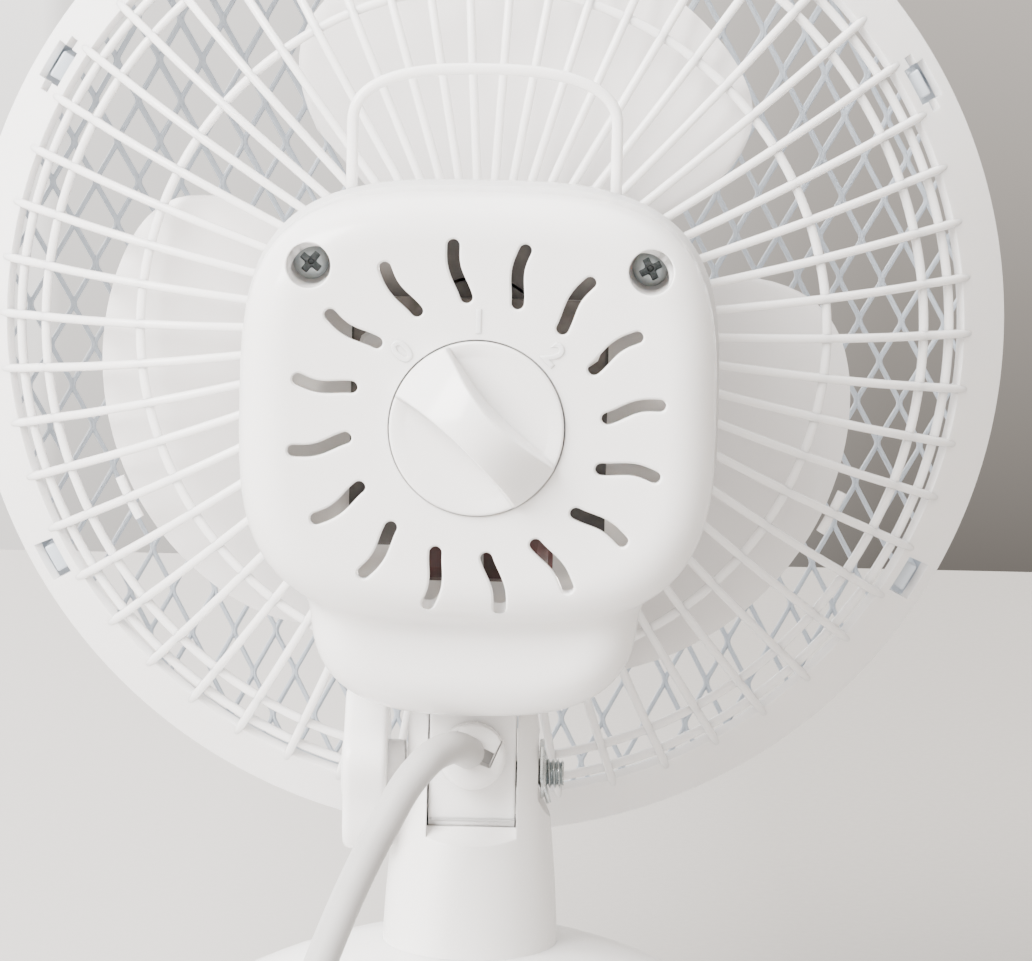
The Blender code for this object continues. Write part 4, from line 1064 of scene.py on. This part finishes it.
def skin_mesh(skin, loops, chains, spacing, wall):
    """A closed shell with holes: its outer skin, the same set in by wall, and what joins them.

    loops are closed outlines on the map; the chain of each is its list of rings of points, from
    the outer skin's hole to the inner skin's. Returns the Shape and the normals of its points.
    """
    angles = full_turn(300)
    reach = skin.edge(angles)
    rim = np.stack([reach * np.cos(angles), reach * np.sin(angles)], axis=-1)
    fixed = [rim, *[np.asarray(loop, float) for loop in loops]]
    spots, edges, ids = [], [], []
    for loop in fixed:
        start = sum(len(s) for s in spots)
        ids.append(list(range(start, start + len(loop))))
        edges += [(start + i, start + (i + 1) % len(loop)) for i in range(len(loop))]
        spots.append(loop)
    fill = [np.zeros((1, 2))]
    widest = float(skin.total.mean())
    for k in range(1, int(widest / spacing)):  # rings of points, each turned by half a step
        share = k * spacing / widest
        count = max(6, int(TAU * share * widest / spacing))
        turn = (np.arange(count) + 0.5 * (k % 2)) * TAU / count
        r = share * skin.edge(turn)
        fill.append(np.stack([r * np.cos(turn), r * np.sin(turn)], axis=-1))
    fill = np.concatenate(fill)
    keep = np.ones(len(fill), bool)
    for loop in fixed[1:]:
        keep &= ~inside_loop(fill, loop)
    known = np.concatenate(fixed)
    batch = 2000
    for start in range(0, len(fill), batch):
        part = fill[start:start + batch]
        gap = np.hypot(part[:, :1] - known[:, 0], part[:, 1:] - known[:, 1]).min(axis=1)
        keep[start:start + batch] &= gap > 0.45 * spacing
    spots = np.concatenate([known, fill[keep]])
    made = delaunay_2d_cdt([Vector(s) for s in spots], edges, [], 0, 1e-6)
    points2 = np.array([tuple(v) for v in made[0]])
    triangles = np.array([f for f in made[2] if len(f) == 3])
    middle = points2[triangles].mean(axis=1)
    wanted = inside_loop(middle, rim)
    for loop in fixed[1:]:
        wanted &= ~inside_loop(middle, loop)
    triangles = triangles[wanted]
    place_of = {}
    for new, olds in enumerate(made[3]):
        for old in olds:
            place_of[old] = new
    ids = [[place_of[i] for i in loop] for loop in ids]
    outer = skin.place(points2)
    normals = skin.normals(outer)
    inner = outer - normals * wall
    count = len(outer)
    shape = Shape()
    shape.add(np.concatenate([outer, inner]), [tuple(t) for t in triangles.tolist()] + [
        tuple(t[::-1]) for t in (triangles + count).tolist()])
    smooth = np.concatenate([normals, np.zeros_like(inner)])

    def joined(loop, rings):
        nonlocal smooth
        rows = [loop]
        for ring in rings:
            start = shape.count
            shape.add(ring, [])
            smooth = np.concatenate([smooth, np.zeros((len(ring), 3))])
            rows.append(list(range(start, start + len(ring))))
        rows.append([i + count for i in loop])
        for one, two in zip(rows, rows[1:]):
            for i in range(len(loop)):
                j = (i + 1) % len(loop)
                shape.faces.append((one[i], two[i], two[j], one[j]))

    joined(ids[0], [])
    for loop, chain in zip(ids[1:], chains):
        joined(loop, chain(outer[loop]))
    return shape, smooth


def vent_outline(turn, half_width):
    """An S-shaped slot on the map, at an angle round the axis."""
    middle, half_length, count = 25.3, 4.25, 14
    f = np.linspace(-1, 1, count + 1)
    sideways = 0.3 * f + 0.47 * (np.cos(0.54 - 2.26 * f) - 0.86)
    rail = np.stack([half_length * f, sideways], axis=-1)
    along = np.gradient(rail, axis=0)
    along /= np.linalg.norm(along, axis=1)[:, None]
    across = np.stack([-along[:, 1], along[:, 0]], axis=-1) * half_width

    def end(spot, direction):
        base = math.atan2(direction[1], direction[0])
        turns = base + np.linspace(-math.pi / 2, math.pi / 2, 9)[1:-1]
        return spot + half_width * np.stack([np.cos(turns), np.sin(turns)], axis=-1)

    loop = np.concatenate([
        rail - across, end(rail[-1], along[-1]), (rail + across)[::-1], end(rail[0], -along[0])])
    c, s = math.cos(turn), math.sin(turn)
    return (loop + [middle, 0]) @ np.array([[c, s], [-s, c]])


def drop_chain(outline, lip, wall):
    """The side of a plain hole: rounded over at the surface, then straight through."""
    def chain(loop):
        rings = []
        for a in np.radians((30, 60, 90)):
            mix = 1 - math.cos(a)
            flat = loop[:, [0, 2]] * (1 - mix) + outline * mix
            rings.append(np.stack([flat[:, 0], loop[:, 1] + lip * math.sin(a), flat[:, 1]], axis=-1))
        rings.append(rings[-1] + [0, wall - lip - 0.05, 0])
        return rings
    return chain


def round_chain(x, z, stations):
    """The side of a turned recess, from its radii and depths.

    A station's last value says whether its depth counts from the surface or is a place along Y.
    """
    def chain(loop):
        turns = np.arctan2(loop[:, 2] - z, loop[:, 0] - x)
        rings = []
        for radius, depth, from_surface in stations:
            y = loop[:, 1] + depth if from_surface else np.full(len(loop), depth)
            rings.append(np.stack([x + radius * np.cos(turns), y, z + radius * np.sin(turns)], axis=-1))
        return rings
    return chain


def rear_shell():
    """The cover, with the dial's recess, its ring of vents and the two deep screw recesses."""
    gap = 0.15  # half the seam between the two shells
    skin = Skin(cover_level, SEAM_Y - gap, -1)
    lip, vent_w, vents, first_vent = 0.3, 1.03, 16, math.radians(8.6)
    recess, floor, back = KNOB_R + 0.24, COVER_REAR + 2.3, COVER_REAR + 4.6
    hub, boss = 4.0, 17.0
    loops = [ring_of(recess + lip, 120)]
    chains = [round_chain(0, KNOB_Z, [
        (recess + 0.1 * lip, 0.25 * lip, True), (recess, lip, True), (recess, floor - 0.3, False),
        (recess - 0.3, floor, False), (hub, floor, False), (hub, back, False),
        (boss, back, False), (boss, COVER_REAR + WALL + 0.4, False),
    ])]
    for k in range(vents):
        turn = first_vent + k * TAU / vents
        loops.append(vent_outline(turn, vent_w + lip))
        chains.append(drop_chain(vent_outline(turn, vent_w) + [0, KNOB_Z], lip, WALL))
    mouth, shank, post = 3.6, 1.75, 5.2
    for side in (-1, 1):
        x, z = side * COVER_SCREW[0], COVER_SCREW[1]
        loops.append(skin.map_of(ring_of(mouth + lip, 56) + [x, z]))
        chains.append(round_chain(x, z, [
            (mouth + 0.1 * lip, 0.25 * lip, True), (mouth, lip, True),
            (mouth - 0.05, SCREW_SEAT - 0.2, False), (mouth - 0.2, SCREW_SEAT, False),
            (shank, SCREW_SEAT, False), (shank, SEAM_Y - gap, False),
            (post, SEAM_Y - gap, False), (post, COVER_REAR + 6.5, False),
        ]))
    shape, normals = skin_mesh(skin, loops, chains, 1.15, WALL)
    piece("rear_cover_shell", shape, "head", WHITE, ("rear_cover",), sharp=42,
          normals=normals)


def digits():
    """Raised 0, 1 and 2 round the dial."""
    rise, reach, thinned = 0.25, 17.0, 0.04
    for text, turn in (("0", 45), ("1", 0), ("2", -45)):
        curve = bpy.data.curves.new("digit", "FONT")
        curve.body = text
        curve.size = 5.2 * MM
        curve.align_x, curve.align_y = "CENTER", "CENTER"
        curve.extrude = thinned * MM
        curve.bevel_depth = rise * MM
        curve.bevel_resolution = 3
        curve.offset = -thinned * MM
        source = placed("digit", curve)
        mesh = evaluated_mesh(source)
        bpy.data.objects.remove(source, do_unlink=True)
        angle = math.radians(90 + turn)
        x, z = round_point((0, KNOB_Z), reach, angle)
        middle = Vector((x, COVER_REAR, z)) * MM
        lean = Matrix.Rotation(math.radians(-turn), 4, "Y") @ Matrix.Rotation(math.pi / 2, 4, "X")
        mesh.transform(Matrix.Translation(middle) @ lean)
        piece(f"dial_digit_{text}", mesh, "head", WHITE, ())


def cover_screws():
    """The two screws at the bottom of the cover's recesses."""
    for name, side, turn in (("left", -1, 38), ("right", 1, 62)):
        at = (side * COVER_SCREW[0], SCREW_SEAT - 2.4, COVER_SCREW[1])
        shape, inset = screw(2.9, 2.1, 1.45, 22, at, Y, turn)
        piece(f"cover_screw_{name}_cross", shape, "head", DULL_ZINC_AND_GROOVE_SHADE, (f"cover_screw_{name}",),
              inset=inset)


def handle_line():
    """The carrying handle's loop: two straight legs under a flat rounded arch."""
    half, spring, rise, depth, power = 21.7, AXIS_Z + 35.5, 9.5, SEAM_Y + 1.6, 2.6
    angles = np.linspace(0, math.pi, 41)
    c, s = np.cos(angles), np.sin(angles)
    scale = (np.abs(c) ** power + np.abs(s) ** power) ** (-1 / power)
    arch = [(half * a * k, depth, spring + rise * b * k) for a, b, k in zip(c, s, scale)]
    foot = AXIS_Z + 23
    return [(half, depth, foot), (half, depth, (foot + spring) / 2), *arch,
            (-half, depth, (foot + spring) / 2), (-half, depth, foot)]


def front_shell():
    """The motor's front shell, with the handle, the tongue, and the posts that take the cover's screws."""
    skin = Skin(housing_level, SEAM_Y + 0.15, 1)
    shaft_hole = ring_of(6.5, 64) + [0, AXIS_Z - KNOB_Z]
    sides = round_chain(0, AXIS_Z, [(6.2, -0.3, True)])
    shape, normals = skin_mesh(skin, [shaft_hole], [sides], 1.6, WALL)
    before = shape.count
    swept(handle_line(), rounded_box_section(1.0, 0.95, 2.6, 20), shape, side=(0, 1, 0))
    tongue, end_r = 7.2, 11
    block((-tongue, TONGUE_REAR, PIVOT_Z - 7), (tongue, PIVOT_Y + 9, AXIS_Z - 57.5), 0.7, shape)
    # the tongue's round end, which swings in the neck's slot
    arc = np.radians(np.linspace(-144.9, -35.1, 25))
    end = [round_point((PIVOT_Y, PIVOT_Z), end_r, a) for a in arc]
    shape.rows([[(x, y, z) for y, z in end] for x in (0.05 - tongue, tongue - 0.05)])
    for side in (-1, 1):
        drum(4.4, SEAM_Y + 0.15, 3.5, (side * COVER_SCREW[0], 0, COVER_SCREW[1]), Y, 40, shape)
    normals = np.concatenate([normals, np.zeros((shape.count - before, 3))])
    piece("front_motor_shell", shape, "head", WHITE, ("motor_housing",), sharp=42,
          normals=normals)


def dial():
    """The dial: a disc with two scooped hollows that leave a waisted, crowned ridge between them.

    u runs along the ridge and w across it; half is the ridge's half width and middle its middle.
    """
    disc, rear, front, crest_h, edge_r = KNOB_R, COVER_REAR - 1.0, COVER_REAR + 2.0, 8.8, 0.45
    along = disc * np.sin(np.linspace(-1, 1, 141) * math.pi / 2 * 0.999)
    places = np.linspace(-1, 1, 241)
    grid = []
    for u in along:
        f = u / disc
        half = 4.05 + 2.2 * max(0.0, f) ** 1.6 + 0.75 * max(0.0, -f) ** 1.6
        middle = 0.9 * (1 - f * f) - 0.1 * f - 0.8 * (1 - f * f) ** 2
        reach = math.sqrt(max(disc * disc - u * u, 1e-6))
        w = reach * places
        crest = crest_h * (1 - abs(f) ** 2.1)
        beyond = np.abs(w - middle) - half
        rise = np.clip(-beyond / (0.5 + 0.05 * crest), 0, 1)
        smooth = rise * rise * (3 - 2 * rise)
        top = crest - 0.03 * (w - middle) ** 2 * (crest / crest_h)
        rim = disc - np.hypot(u, w)
        hollow = np.where(w > middle, 1.5, 0.9) * (1 - f * f)
        hollow *= np.exp(-(np.maximum(beyond, 0) / 4.0) ** 2) * np.clip(rim / 2.5, 0, 1)
        lip = edge_r * (1 - np.sqrt(1 - (1 - np.clip(rim / edge_r, 0, 1)) ** 2))
        height = smooth * top - (1 - smooth) * hollow - lip
        grid.append(np.stack([np.full(len(w), u), -height, w], axis=-1))
    grid = np.array(grid)
    c = math.sqrt(0.5)  # u points up and to the left from behind, w up and to the right
    u, y, w = grid[..., 0], grid[..., 1], grid[..., 2]
    top = np.stack([c * (w - u), y + rear, KNOB_Z + c * (w + u)], axis=-1)
    border = grid_border(*top.shape[:2])
    shape = Shape().rows(top, around=False, caps=False)
    lower = top.reshape(-1, 3)[border]
    lower[:, 1] = front
    start = shape.count
    shape.add(lower, [])
    for i, here in enumerate(border):
        j = (i + 1) % len(border)
        shape.faces.append((here, border[j], start + j, start + i))
    shape.faces.append(tuple(range(start, shape.count)))
    piece("dial_grip", shape, "dial", WHITE, ("speed_knob",), sharp=60)


# Motor ------------------------------------------------------------------------------------------

def motor():
    """The motor's CAD pieces keep their shapes and take their finishes."""
    grille_screws = [f"grille_screw_{k}" for k in (1, 2, 3, 4)]
    for mat, names in (
        (LAMINATION, ("stator_core", "rotor_core")),
        (COIL_TAPE, ("field_coil",)),
        (DARK_STEEL, ("rear_bearing_bracket",)),
        (STEEL, ("front_bearing_bracket", "motor_screw_left", "motor_screw_right", "rotor_shaft")),
        (STEEL, grille_screws),
        (BRONZE, ("front_bearing", "rear_bearing")),
        (SWITCH_BLACK, ("switch_body", "switch_spindle", "inner_leads")),
    ):
        for name in names:
            mesh = frame["nodes"][name].data
            mesh.materials.clear()
            mesh.materials.append(mat)


# Guard ------------------------------------------------------------------------------------------

BOWL = [(0, 6.2), (30, 6.2), (41, 6.3), (50, 7.0), (58, 8.9), (64, 11.6), (70, 15.3), (75, 19.6),
        (80, 24.2), (85, 29.0), (90, 33.9)]
PLATE_Y = 6.2
SPOKES = 54
BAND = (81.7, 82.6, 83.2, 84.4, 85.8, 87.2, 88.2, 89.1)  # radii of the rings that make the band
WINDOW, STEP = (83.2, 87.2), (84.4, 85.8)
HALF_WINDOW, HALF_STEP = 3.4 / 85.2, 5.2 / 85.2  # half angles of a clip window and of its step
CLIPS = [math.radians(30 + 60 * k) for k in range(6)]
STEPPED_CLIPS = CLIPS[:3]


def bowl_depth(r):
    """The rear guard's depth at a radius, along a smooth line through its stations."""
    line = curve_through([(a, b, 0) for a, b in BOWL], 8)
    return np.interp(r, line[:, 0], line[:, 1])


def outline_radius(angle):
    """How far the motor housing's outline is from the fan axis, in a direction."""
    reach, farthest, halvings = 0.0, 100.0, 30
    for half_w, half_h, middle, power in (SHELL, HOUSING_CHIN):
        near, far = 0.0, farthest
        for _ in range(halvings):
            r = (near + far) / 2
            x, z = r * math.cos(angle), r * math.sin(angle) + AXIS_Z - middle
            inside = abs(x / half_w) ** power + abs(z / half_h) ** power < 1
            near, far = (r, far) if inside else (near, r)
        reach = max(reach, near)
    return reach


def polar(r, depth, angle):
    """Points from their radius, depth and angle about the fan axis."""
    return np.stack(np.broadcast_arrays(r * np.cos(angle), depth, AXIS_Z + r * np.sin(angle)), axis=-1)


def rear_guard():
    """The bars, the rings and two short cross-bars, the plate that they meet, and the band."""
    shape = Shape()
    section = rounded_box_section(0.74, 0.95, 2.9, 16)
    for angle in full_turn(SPOKES):
        start = outline_radius(angle) - 3
        r = np.concatenate([np.linspace(start, 78, 26), np.linspace(79.5, 83.6, 4)])
        lifted = 0.6 * np.clip((r - 76) / 4, 0, 1) - 0.9 * np.clip((r - 81) / 2.6, 0, 1)
        path = polar(r, bowl_depth(r) - lifted, angle)
        rounded_rod(path, section, shape, side=(-math.sin(angle), 0, math.cos(angle)))
    round_section, forward = rounded_box_section(0.8, 0.8, 2.4, 12), (0, 1, 0)
    for radius in (58.0, 75.0, 79.6):
        path = polar(radius, bowl_depth(radius) + 0.35, full_turn(240))
        swept(path, round_section, shape, side=forward, closed=True)
    cross_bar_r, half_span = 67.0, 3.317
    for middle in (206.67, 333.33):
        arc = np.radians(middle + np.linspace(-half_span, half_span, 9))
        swept(polar(cross_bar_r, bowl_depth(cross_bar_r) + 0.3, arc), round_section, shape, side=forward)
    guard_plate(shape)
    piece("rear_guard_bars", shape, "head", WHITE, ("rear_grille",), sharp=45)
    piece("rear_guard_band", guard_band(), "head", WHITE, ("rear_grille",), sharp=45)


def guard_plate(shape):
    """The flat plate behind the motor housing, with the housing's outline and a hole for its boss."""
    angles = full_turn(240)
    edge = np.array([outline_radius(a) for a in angles]) - 0.4
    hole, half, rounded = 9.0, 0.8, 0.3
    profile = (
        (hole, half), (edge - rounded, half), (edge, half - rounded),
        (edge, rounded - half), (edge - rounded, -half), (hole, -half),
    )
    shape.rows([polar(r, PLATE_Y + depth, angles) for r, depth in profile], along=True)


def window_cells(angles, radii):
    """Which cells of the band are open: the six clip windows, three of them with a wider step."""
    at_angle = (angles + np.append(angles[1:], angles[0] + TAU)) / 2
    at_radius = (radii[:-1] + radii[1:]) / 2
    opened = np.zeros((len(at_radius), len(at_angle)), bool)
    for clips, (inner, outer), half in ((CLIPS, WINDOW, HALF_WINDOW), (STEPPED_CLIPS, STEP, HALF_STEP)):
        for clip in clips:
            off = np.array([abs(math.remainder(a - clip, TAU)) for a in at_angle])
            opened |= np.outer((inner < at_radius) & (at_radius < outer), off < half)
    return opened


def guard_band():
    """The conical band with its clip windows and the guard's rounded rim."""
    edges = [clip + off for clip in CLIPS for off in (-HALF_STEP, -HALF_WINDOW, HALF_WINDOW, HALF_STEP)]
    too_near = 0.006
    plain = [a for a in full_turn(360) if min(abs(math.remainder(a - e, TAU)) for e in edges) > too_near]
    angles = np.array(sorted([*plain, *[e % TAU for e in edges]]))
    radii, half_thickness = np.array(BAND), 0.85
    depth = bowl_depth(radii)
    slope = np.gradient(depth, radii)
    lean = half_thickness * np.stack([-slope, np.ones_like(slope)], axis=-1) / np.hypot(1, slope)[:, None]
    opened = window_cells(angles, radii)
    count, rows = len(angles), len(radii)
    shape = Shape()
    for side in (-1, 1):
        r, y = radii + side * lean[:, 0], depth + side * lean[:, 1]
        shape.add([polar(a, b, angles) for a, b in zip(r, y)], [])

    def at(layer, j, i):
        return (layer * rows + j) * count + i % count

    for j, i in np.argwhere(~opened).tolist():
        corners = ((j, i), (j, i + 1), (j + 1, i + 1), (j + 1, i))
        for layer in (0, 1):
            shape.faces.append(tuple(at(layer, *corner) for corner in corners))
        for dj, di, one, two in (
            (-1, 0, (j, i), (j, i + 1)), (1, 0, (j + 1, i), (j + 1, i + 1)),
            (0, -1, (j, i), (j + 1, i)), (0, 1, (j, i + 1), (j + 1, i + 1)),
        ):
            beside_j, beside_i = j + dj, (i + di) % count
            if beside_j not in range(rows - 1) or opened[beside_j, beside_i]:
                shape.faces.append((at(0, *one), at(0, *two), at(1, *two), at(1, *one)))

    rim = [(88.3, 33.4), (89.6, 33.2), (GUARD_R, 34.0), (GUARD_R, 35.3), (88.6, 35.4), (88.1, 34.6)]
    turned(softened(rim, 0.5, 3, True), FAN_AXIS, Y, 240, ring=True, shape=shape)
    return shape


FRONT_RIM_Y, FRONT_RISE, MESH_IN = 44.0, 20.0, 84.5


def front_depth(r):
    """The front mesh's depth at a radius."""
    return FRONT_RIM_Y + FRONT_RISE * (1 - np.minimum(r / MESH_IN, 1) ** 2)


def mesh_strands(shape):
    """Zigzag strands that meet their neighbours in short upright stems."""
    cell_w, cell_h, stem, half = 7.3, 14.4, 1.0, 0.42
    overlap, piece_length = 0.25 * half, 2.6
    section = rounded_box_section(half, 0.6, 3.0, 8)
    columns = int(MESH_IN / (cell_w / 2)) + 1
    rows = int(MESH_IN / (cell_h / 2)) + 1
    for i in range(-columns, columns):
        left, right = i * cell_w / 2, (i + 1) * cell_w / 2
        line = []
        for j in range(-rows, rows + 1):
            x, z = left + overlap if (i + j) % 2 == 0 else right - overlap, j * cell_h / 2
            line += [(x, z - stem / 2), (x, z + stem / 2)]
        line = softened(line, 0.5, 2)
        fine = [line[0]]
        for p, q in zip(line, line[1:]):
            parts = max(1, int(np.linalg.norm(q - p) / piece_length))
            fine += [p + (q - p) * (k + 1) / parts for k in range(parts)]
        fine = np.array(fine)
        inside = np.flatnonzero(np.hypot(fine[:, 0], fine[:, 1]) < MESH_IN + 1.2)
        if len(inside) < 3:
            continue
        x, z = fine[inside[0]:inside[-1] + 1].T
        swept(np.stack([x, front_depth(np.hypot(x, z)), AXIS_Z + z], axis=-1), section, shape, side=(1, 0, 0))


def clip_tabs(shape):
    """The six tabs that reach back from the skirt into the band's windows, each with a barb."""
    half = 2.4
    for angle in CLIPS:
        for part in (
            block((84.4, 28.6, -half), (86.0, FRONT_RIM_Y - 1, half), 0.3),
            block((83.5, 28.3, -half), (86.0, 30.4, half), 0.4),
        ):
            r, y, w = part.points[0].T
            x, z = r * math.cos(angle) - w * math.sin(angle), r * math.sin(angle) + w * math.cos(angle)
            shape.add(np.stack([x, y, AXIS_Z + z], axis=-1), part.faces)


def front_guard():
    """The mesh, its rim and skirt with the clips, and the middle disc with its cap."""
    shape = Shape()
    mesh_strands(shape)
    rim = softened(
        [(MESH_IN - 0.6, 43.2), (MESH_IN - 0.6, 44.9), (87.5, 45.2), (GUARD_R, 43.4), (GUARD_R, 35.9),
         (88.4, 35.9), (88.4, 42.2), (86.6, 43.0)],
        [0.4, 0.6, 1.5, 2.2, 0.3, 0.3, 1, 0.8], 5, True,
    )
    turned(rim, FAN_AXIS, Y, 240, ring=True, shape=shape)
    top = FRONT_RIM_Y + FRONT_RISE
    disc = softened(
        [(0.1, top - 1.8), (20, top - 2.9), (20.6, top - 2.6), (20, top - 0.6), (0.1, top + 0.5)],
        [0, 0.5, 0.4, 0.8, 0], 4,
    )
    turned(disc, FAN_AXIS, Y, 96, shape=shape)
    clip_tabs(shape)
    # the front guard takes the grey-blue: painted shade on its shaded rear side
    piece("front_guard_mesh", shape, "head", MESH_SHADE_GREY, ("front_grille",), sharp=40)
    badge = softened(
        [(0.1, top + 1.0), (16.5, top + 1.0), (16.5, top + 2.2), (13, top + 3.4), (0.1, top + 4.0)],
        [0, 0.3, 1, 4, 0], 6,
    )
    piece("badge_cap", turned(badge, FAN_AXIS, Y, 96), "head", WHITE, ("centre_badge",))


# Blade ------------------------------------------------------------------------------------------

BLADE_R, BLADE_Y, HUB_R = 66.5, 19.0, 13.0


def blade_surface(u, v, middle):
    """A blade's mid-surface: u goes across it from -1 to 1, and v outwards from 0 to 1.

    Its outline is rounded: the sides swing out from the hub and the tip falls away to them.
    """
    side = np.sign(u) * np.abs(u) ** 0.9
    spread = np.radians(28 + np.where(u > 0, 20, 23) * np.sin(np.minimum(v * 1.9, 1) * math.pi / 2))
    corner = np.where(u > 0, 0.21 * np.abs(u) ** 8, 0.18 * np.abs(u) ** 12)
    tip = BLADE_R * (1 - 0.13 * np.abs(u) ** 1.8 - corner)
    root = HUB_R - 2
    twist = (9 - 3 * v) * side + 0.9 * np.cos(side * math.pi / 2) * v
    return polar(root + (tip - root) * v, BLADE_Y + twist, math.radians(middle) + spread * side)


def blades():
    """The hub and three blades with rounded edges, in one moulding."""
    low_y, high_y = 9.8, 27.0
    hub = softened(
        [(2.6, low_y), (HUB_R, low_y), (HUB_R, high_y - 3), (HUB_R - 5, high_y), (0.1, high_y + 0.2)],
        [0, 0.6, 3.5, 4, 0], 6)
    shape = turned([(0.1, low_y), *hub], FAN_AXIS, Y, 96)
    across, outward, half_thickness = 72, 40, 0.75
    u, v = np.meshgrid(np.linspace(-1, 1, across), np.linspace(0, 1, outward), indexing="ij")
    rim = np.minimum(np.minimum((1 - np.abs(u)) * 12, (1 - v) * 14), 1)
    half = half_thickness * np.sqrt(np.clip(1 - (1 - rim) ** 2, 0.02, 1))
    for middle in (84, 204, 324):
        centre = blade_surface(u, v, middle)
        normal = np.cross(np.gradient(centre, axis=0), np.gradient(centre, axis=1))
        normal *= (half / np.linalg.norm(normal, axis=-1))[..., None]
        border = [shape.count + i for i in grid_border(across, outward)]
        below = across * outward
        for side in (1, -1):
            shape.rows(centre + side * normal, around=False, caps=False)
        for i, j in zip(border, border[1:] + border[:1]):
            shape.faces.append((i, j, j + below, i + below))
    piece("fan_blades", shape, "rotor", BLADE, ("fan_blade",), sharp=50)


# Stage and light --------------------------------------------------------------------------------

def along_axis(tree, coordinates, axis, lowest, highest):
    """A coordinate's X, Y or Z, spread from 0 to 1 between two values."""
    place = tree.nodes.new("ShaderNodeTexCoord")
    split = tree.nodes.new("ShaderNodeSeparateXYZ")
    spread = tree.nodes.new("ShaderNodeMapRange")
    spread.inputs["From Min"].default_value = lowest
    spread.inputs["From Max"].default_value = highest
    tree.links.new(place.outputs[coordinates], split.inputs["Vector"])
    tree.links.new(split.outputs[axis], spread.inputs["Value"])
    return spread.outputs["Result"]


def stage():
    """The table top, whose colour falls off from its left to its right: painted falloff of the light,
    brighter towards the key light on the left.
    """
    near, far, half = -2.6, 0.78, 2.2
    floor = bpy.data.meshes.new("table_top")
    corners = [(-half, near, 0), (half, near, 0), (half, far, 0), (-half, far, 0)]
    floor.from_pydata(corners, [], [(0, 1, 2, 3)])
    mat = finish_of(
        "table", (0.485, 0.462, 0.442), (0.315, 0.296, 0.276), 0.002, (0.55, 0.65), 0.5, 0.01)
    ramp = next(n for n in mat.node_tree.nodes if n.type == "VALTORGB")
    # the colour goes by X instead of by the noise, lighter on the left and darker on the right: painted
    # falloff of the light across the table
    rightwards = along_axis(mat.node_tree, "Object", "X", -0.16, 0.16)
    mat.node_tree.links.new(rightwards, ramp.inputs["Fac"])
    floor.materials.append(mat)
    placed("table_top", floor)


def world():
    """Pale surroundings, brighter on the left; the wall beyond the fan is grey towards its right."""
    surroundings = bpy.data.worlds.new("studio")
    surroundings.use_nodes = True
    bpy.context.scene.world = surroundings
    tree = surroundings.node_tree
    back = next(n for n in tree.nodes if n.type == "BACKGROUND")

    def ramp(axis, lowest, highest, stops):
        """Greys along a direction's axis, each from a place, a level and a warmth."""
        node = tree.nodes.new("ShaderNodeValToRGB")
        tree.links.new(along_axis(tree, "Generated", axis, lowest, highest), node.inputs["Fac"])
        elements = node.color_ramp.elements
        while len(elements) < len(stops):
            elements.new(0.5)
        for element, (at, level, warmth) in zip(elements, stops):
            element.position = at
            element.color = (level, (1 - warmth / 2) * level, (1 - warmth) * level, 1)
        return node.outputs["Color"]

    def mix(factor, first, second):
        node = tree.nodes.new("ShaderNodeMix")
        node.data_type = "RGBA"
        for index, source in ((0, factor), (6, first), (7, second)):
            tree.links.new(source, node.inputs[index])
        return node.outputs[2]

    room = ramp("X", -1, 1, [(0, 1.2, 0.04), (0.5, 0.76, 0.08), (1, 0.27, 0.2)])
    grey_wall = ramp("Z", -0.14, 0.02, [(0, 0.048, 0.2), (0.4, 0.155, 0.18), (1, 0.365, 0.16)])
    pale_wall = ramp("Z", -0.14, 0.02, [(0, 0.56, 0.1), (1, 1.12, 0.06)])
    rightwards = ramp("X", -0.11, 0.07, [
        (0.067, 0.0, 0), (0.089, 0.4, 0), (0.28, 0.5, 0), (0.85, 0.96, 0), (0.94, 1.0, 0)])
    beyond = ramp("Y", 0.5, 0.95, [(0, 0.0, 0), (1, 1.0, 0)])
    wall = mix(rightwards, pale_wall, grey_wall)
    tree.links.new(mix(beyond, room, wall), back.inputs["Color"])
    back.inputs["Strength"].default_value = 2.7


def light(name, kind, power, colour):
    """A new light object."""
    data = bpy.data.lights.new(name, kind)
    data.energy, data.color = power, colour
    return placed(name, data)


def area_light(name, at, size, power, colour=(1, 1, 1)):
    """A rectangular light that faces the fan's middle."""
    aim = Vector((0, 0, 0.12))
    obj = light(name, "AREA", power, colour)
    obj.data.shape = "RECTANGLE"
    obj.data.size, obj.data.size_y = size
    obj.location = at
    obj.rotation_euler = (aim - Vector(at)).to_track_quat("-Z", "Y").to_euler()


def inside_glow():
    """Daylight that the thin shells let through to the motor, as small lights that ride on the head."""
    count, ring, depth = 6, 31.0, -27.0
    for k, angle in enumerate(full_turn(count)):
        obj = light(f"glow_{k + 1}", "POINT", 0.005, (1.0, 0.93, 0.85))
        obj.data.shadow_soft_size = 2.5 * MM
        obj.data.specular_factor = 0.0
        obj.visible_camera = False
        x, z = round_point((0, KNOB_Z), ring, angle)
        obj.location = Vector((x, depth, z)) * MM
        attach(obj, "head")


def lights():
    """Soft light from the upper left, from above and from beyond, and the glow inside the shells."""
    area_light("key", (-1.5, -1.6, 1.5), (1.6, 1.6), 250, (1.0, 0.985, 0.97))
    area_light("top", (0.2, 0.2, 2.2), (2.2, 2.2), 60)
    area_light("back", (-1.2, 1.9, 0.9), (1.4, 1.2), 26)
    inside_glow()


lead()
strain_relief()
base()
neck()
tilt_clamp()
nut()
rear_shell()
digits()
cover_screws()
front_shell()
dial()
motor()
rear_guard()
front_guard()
blades()
stage()
world()
lights()
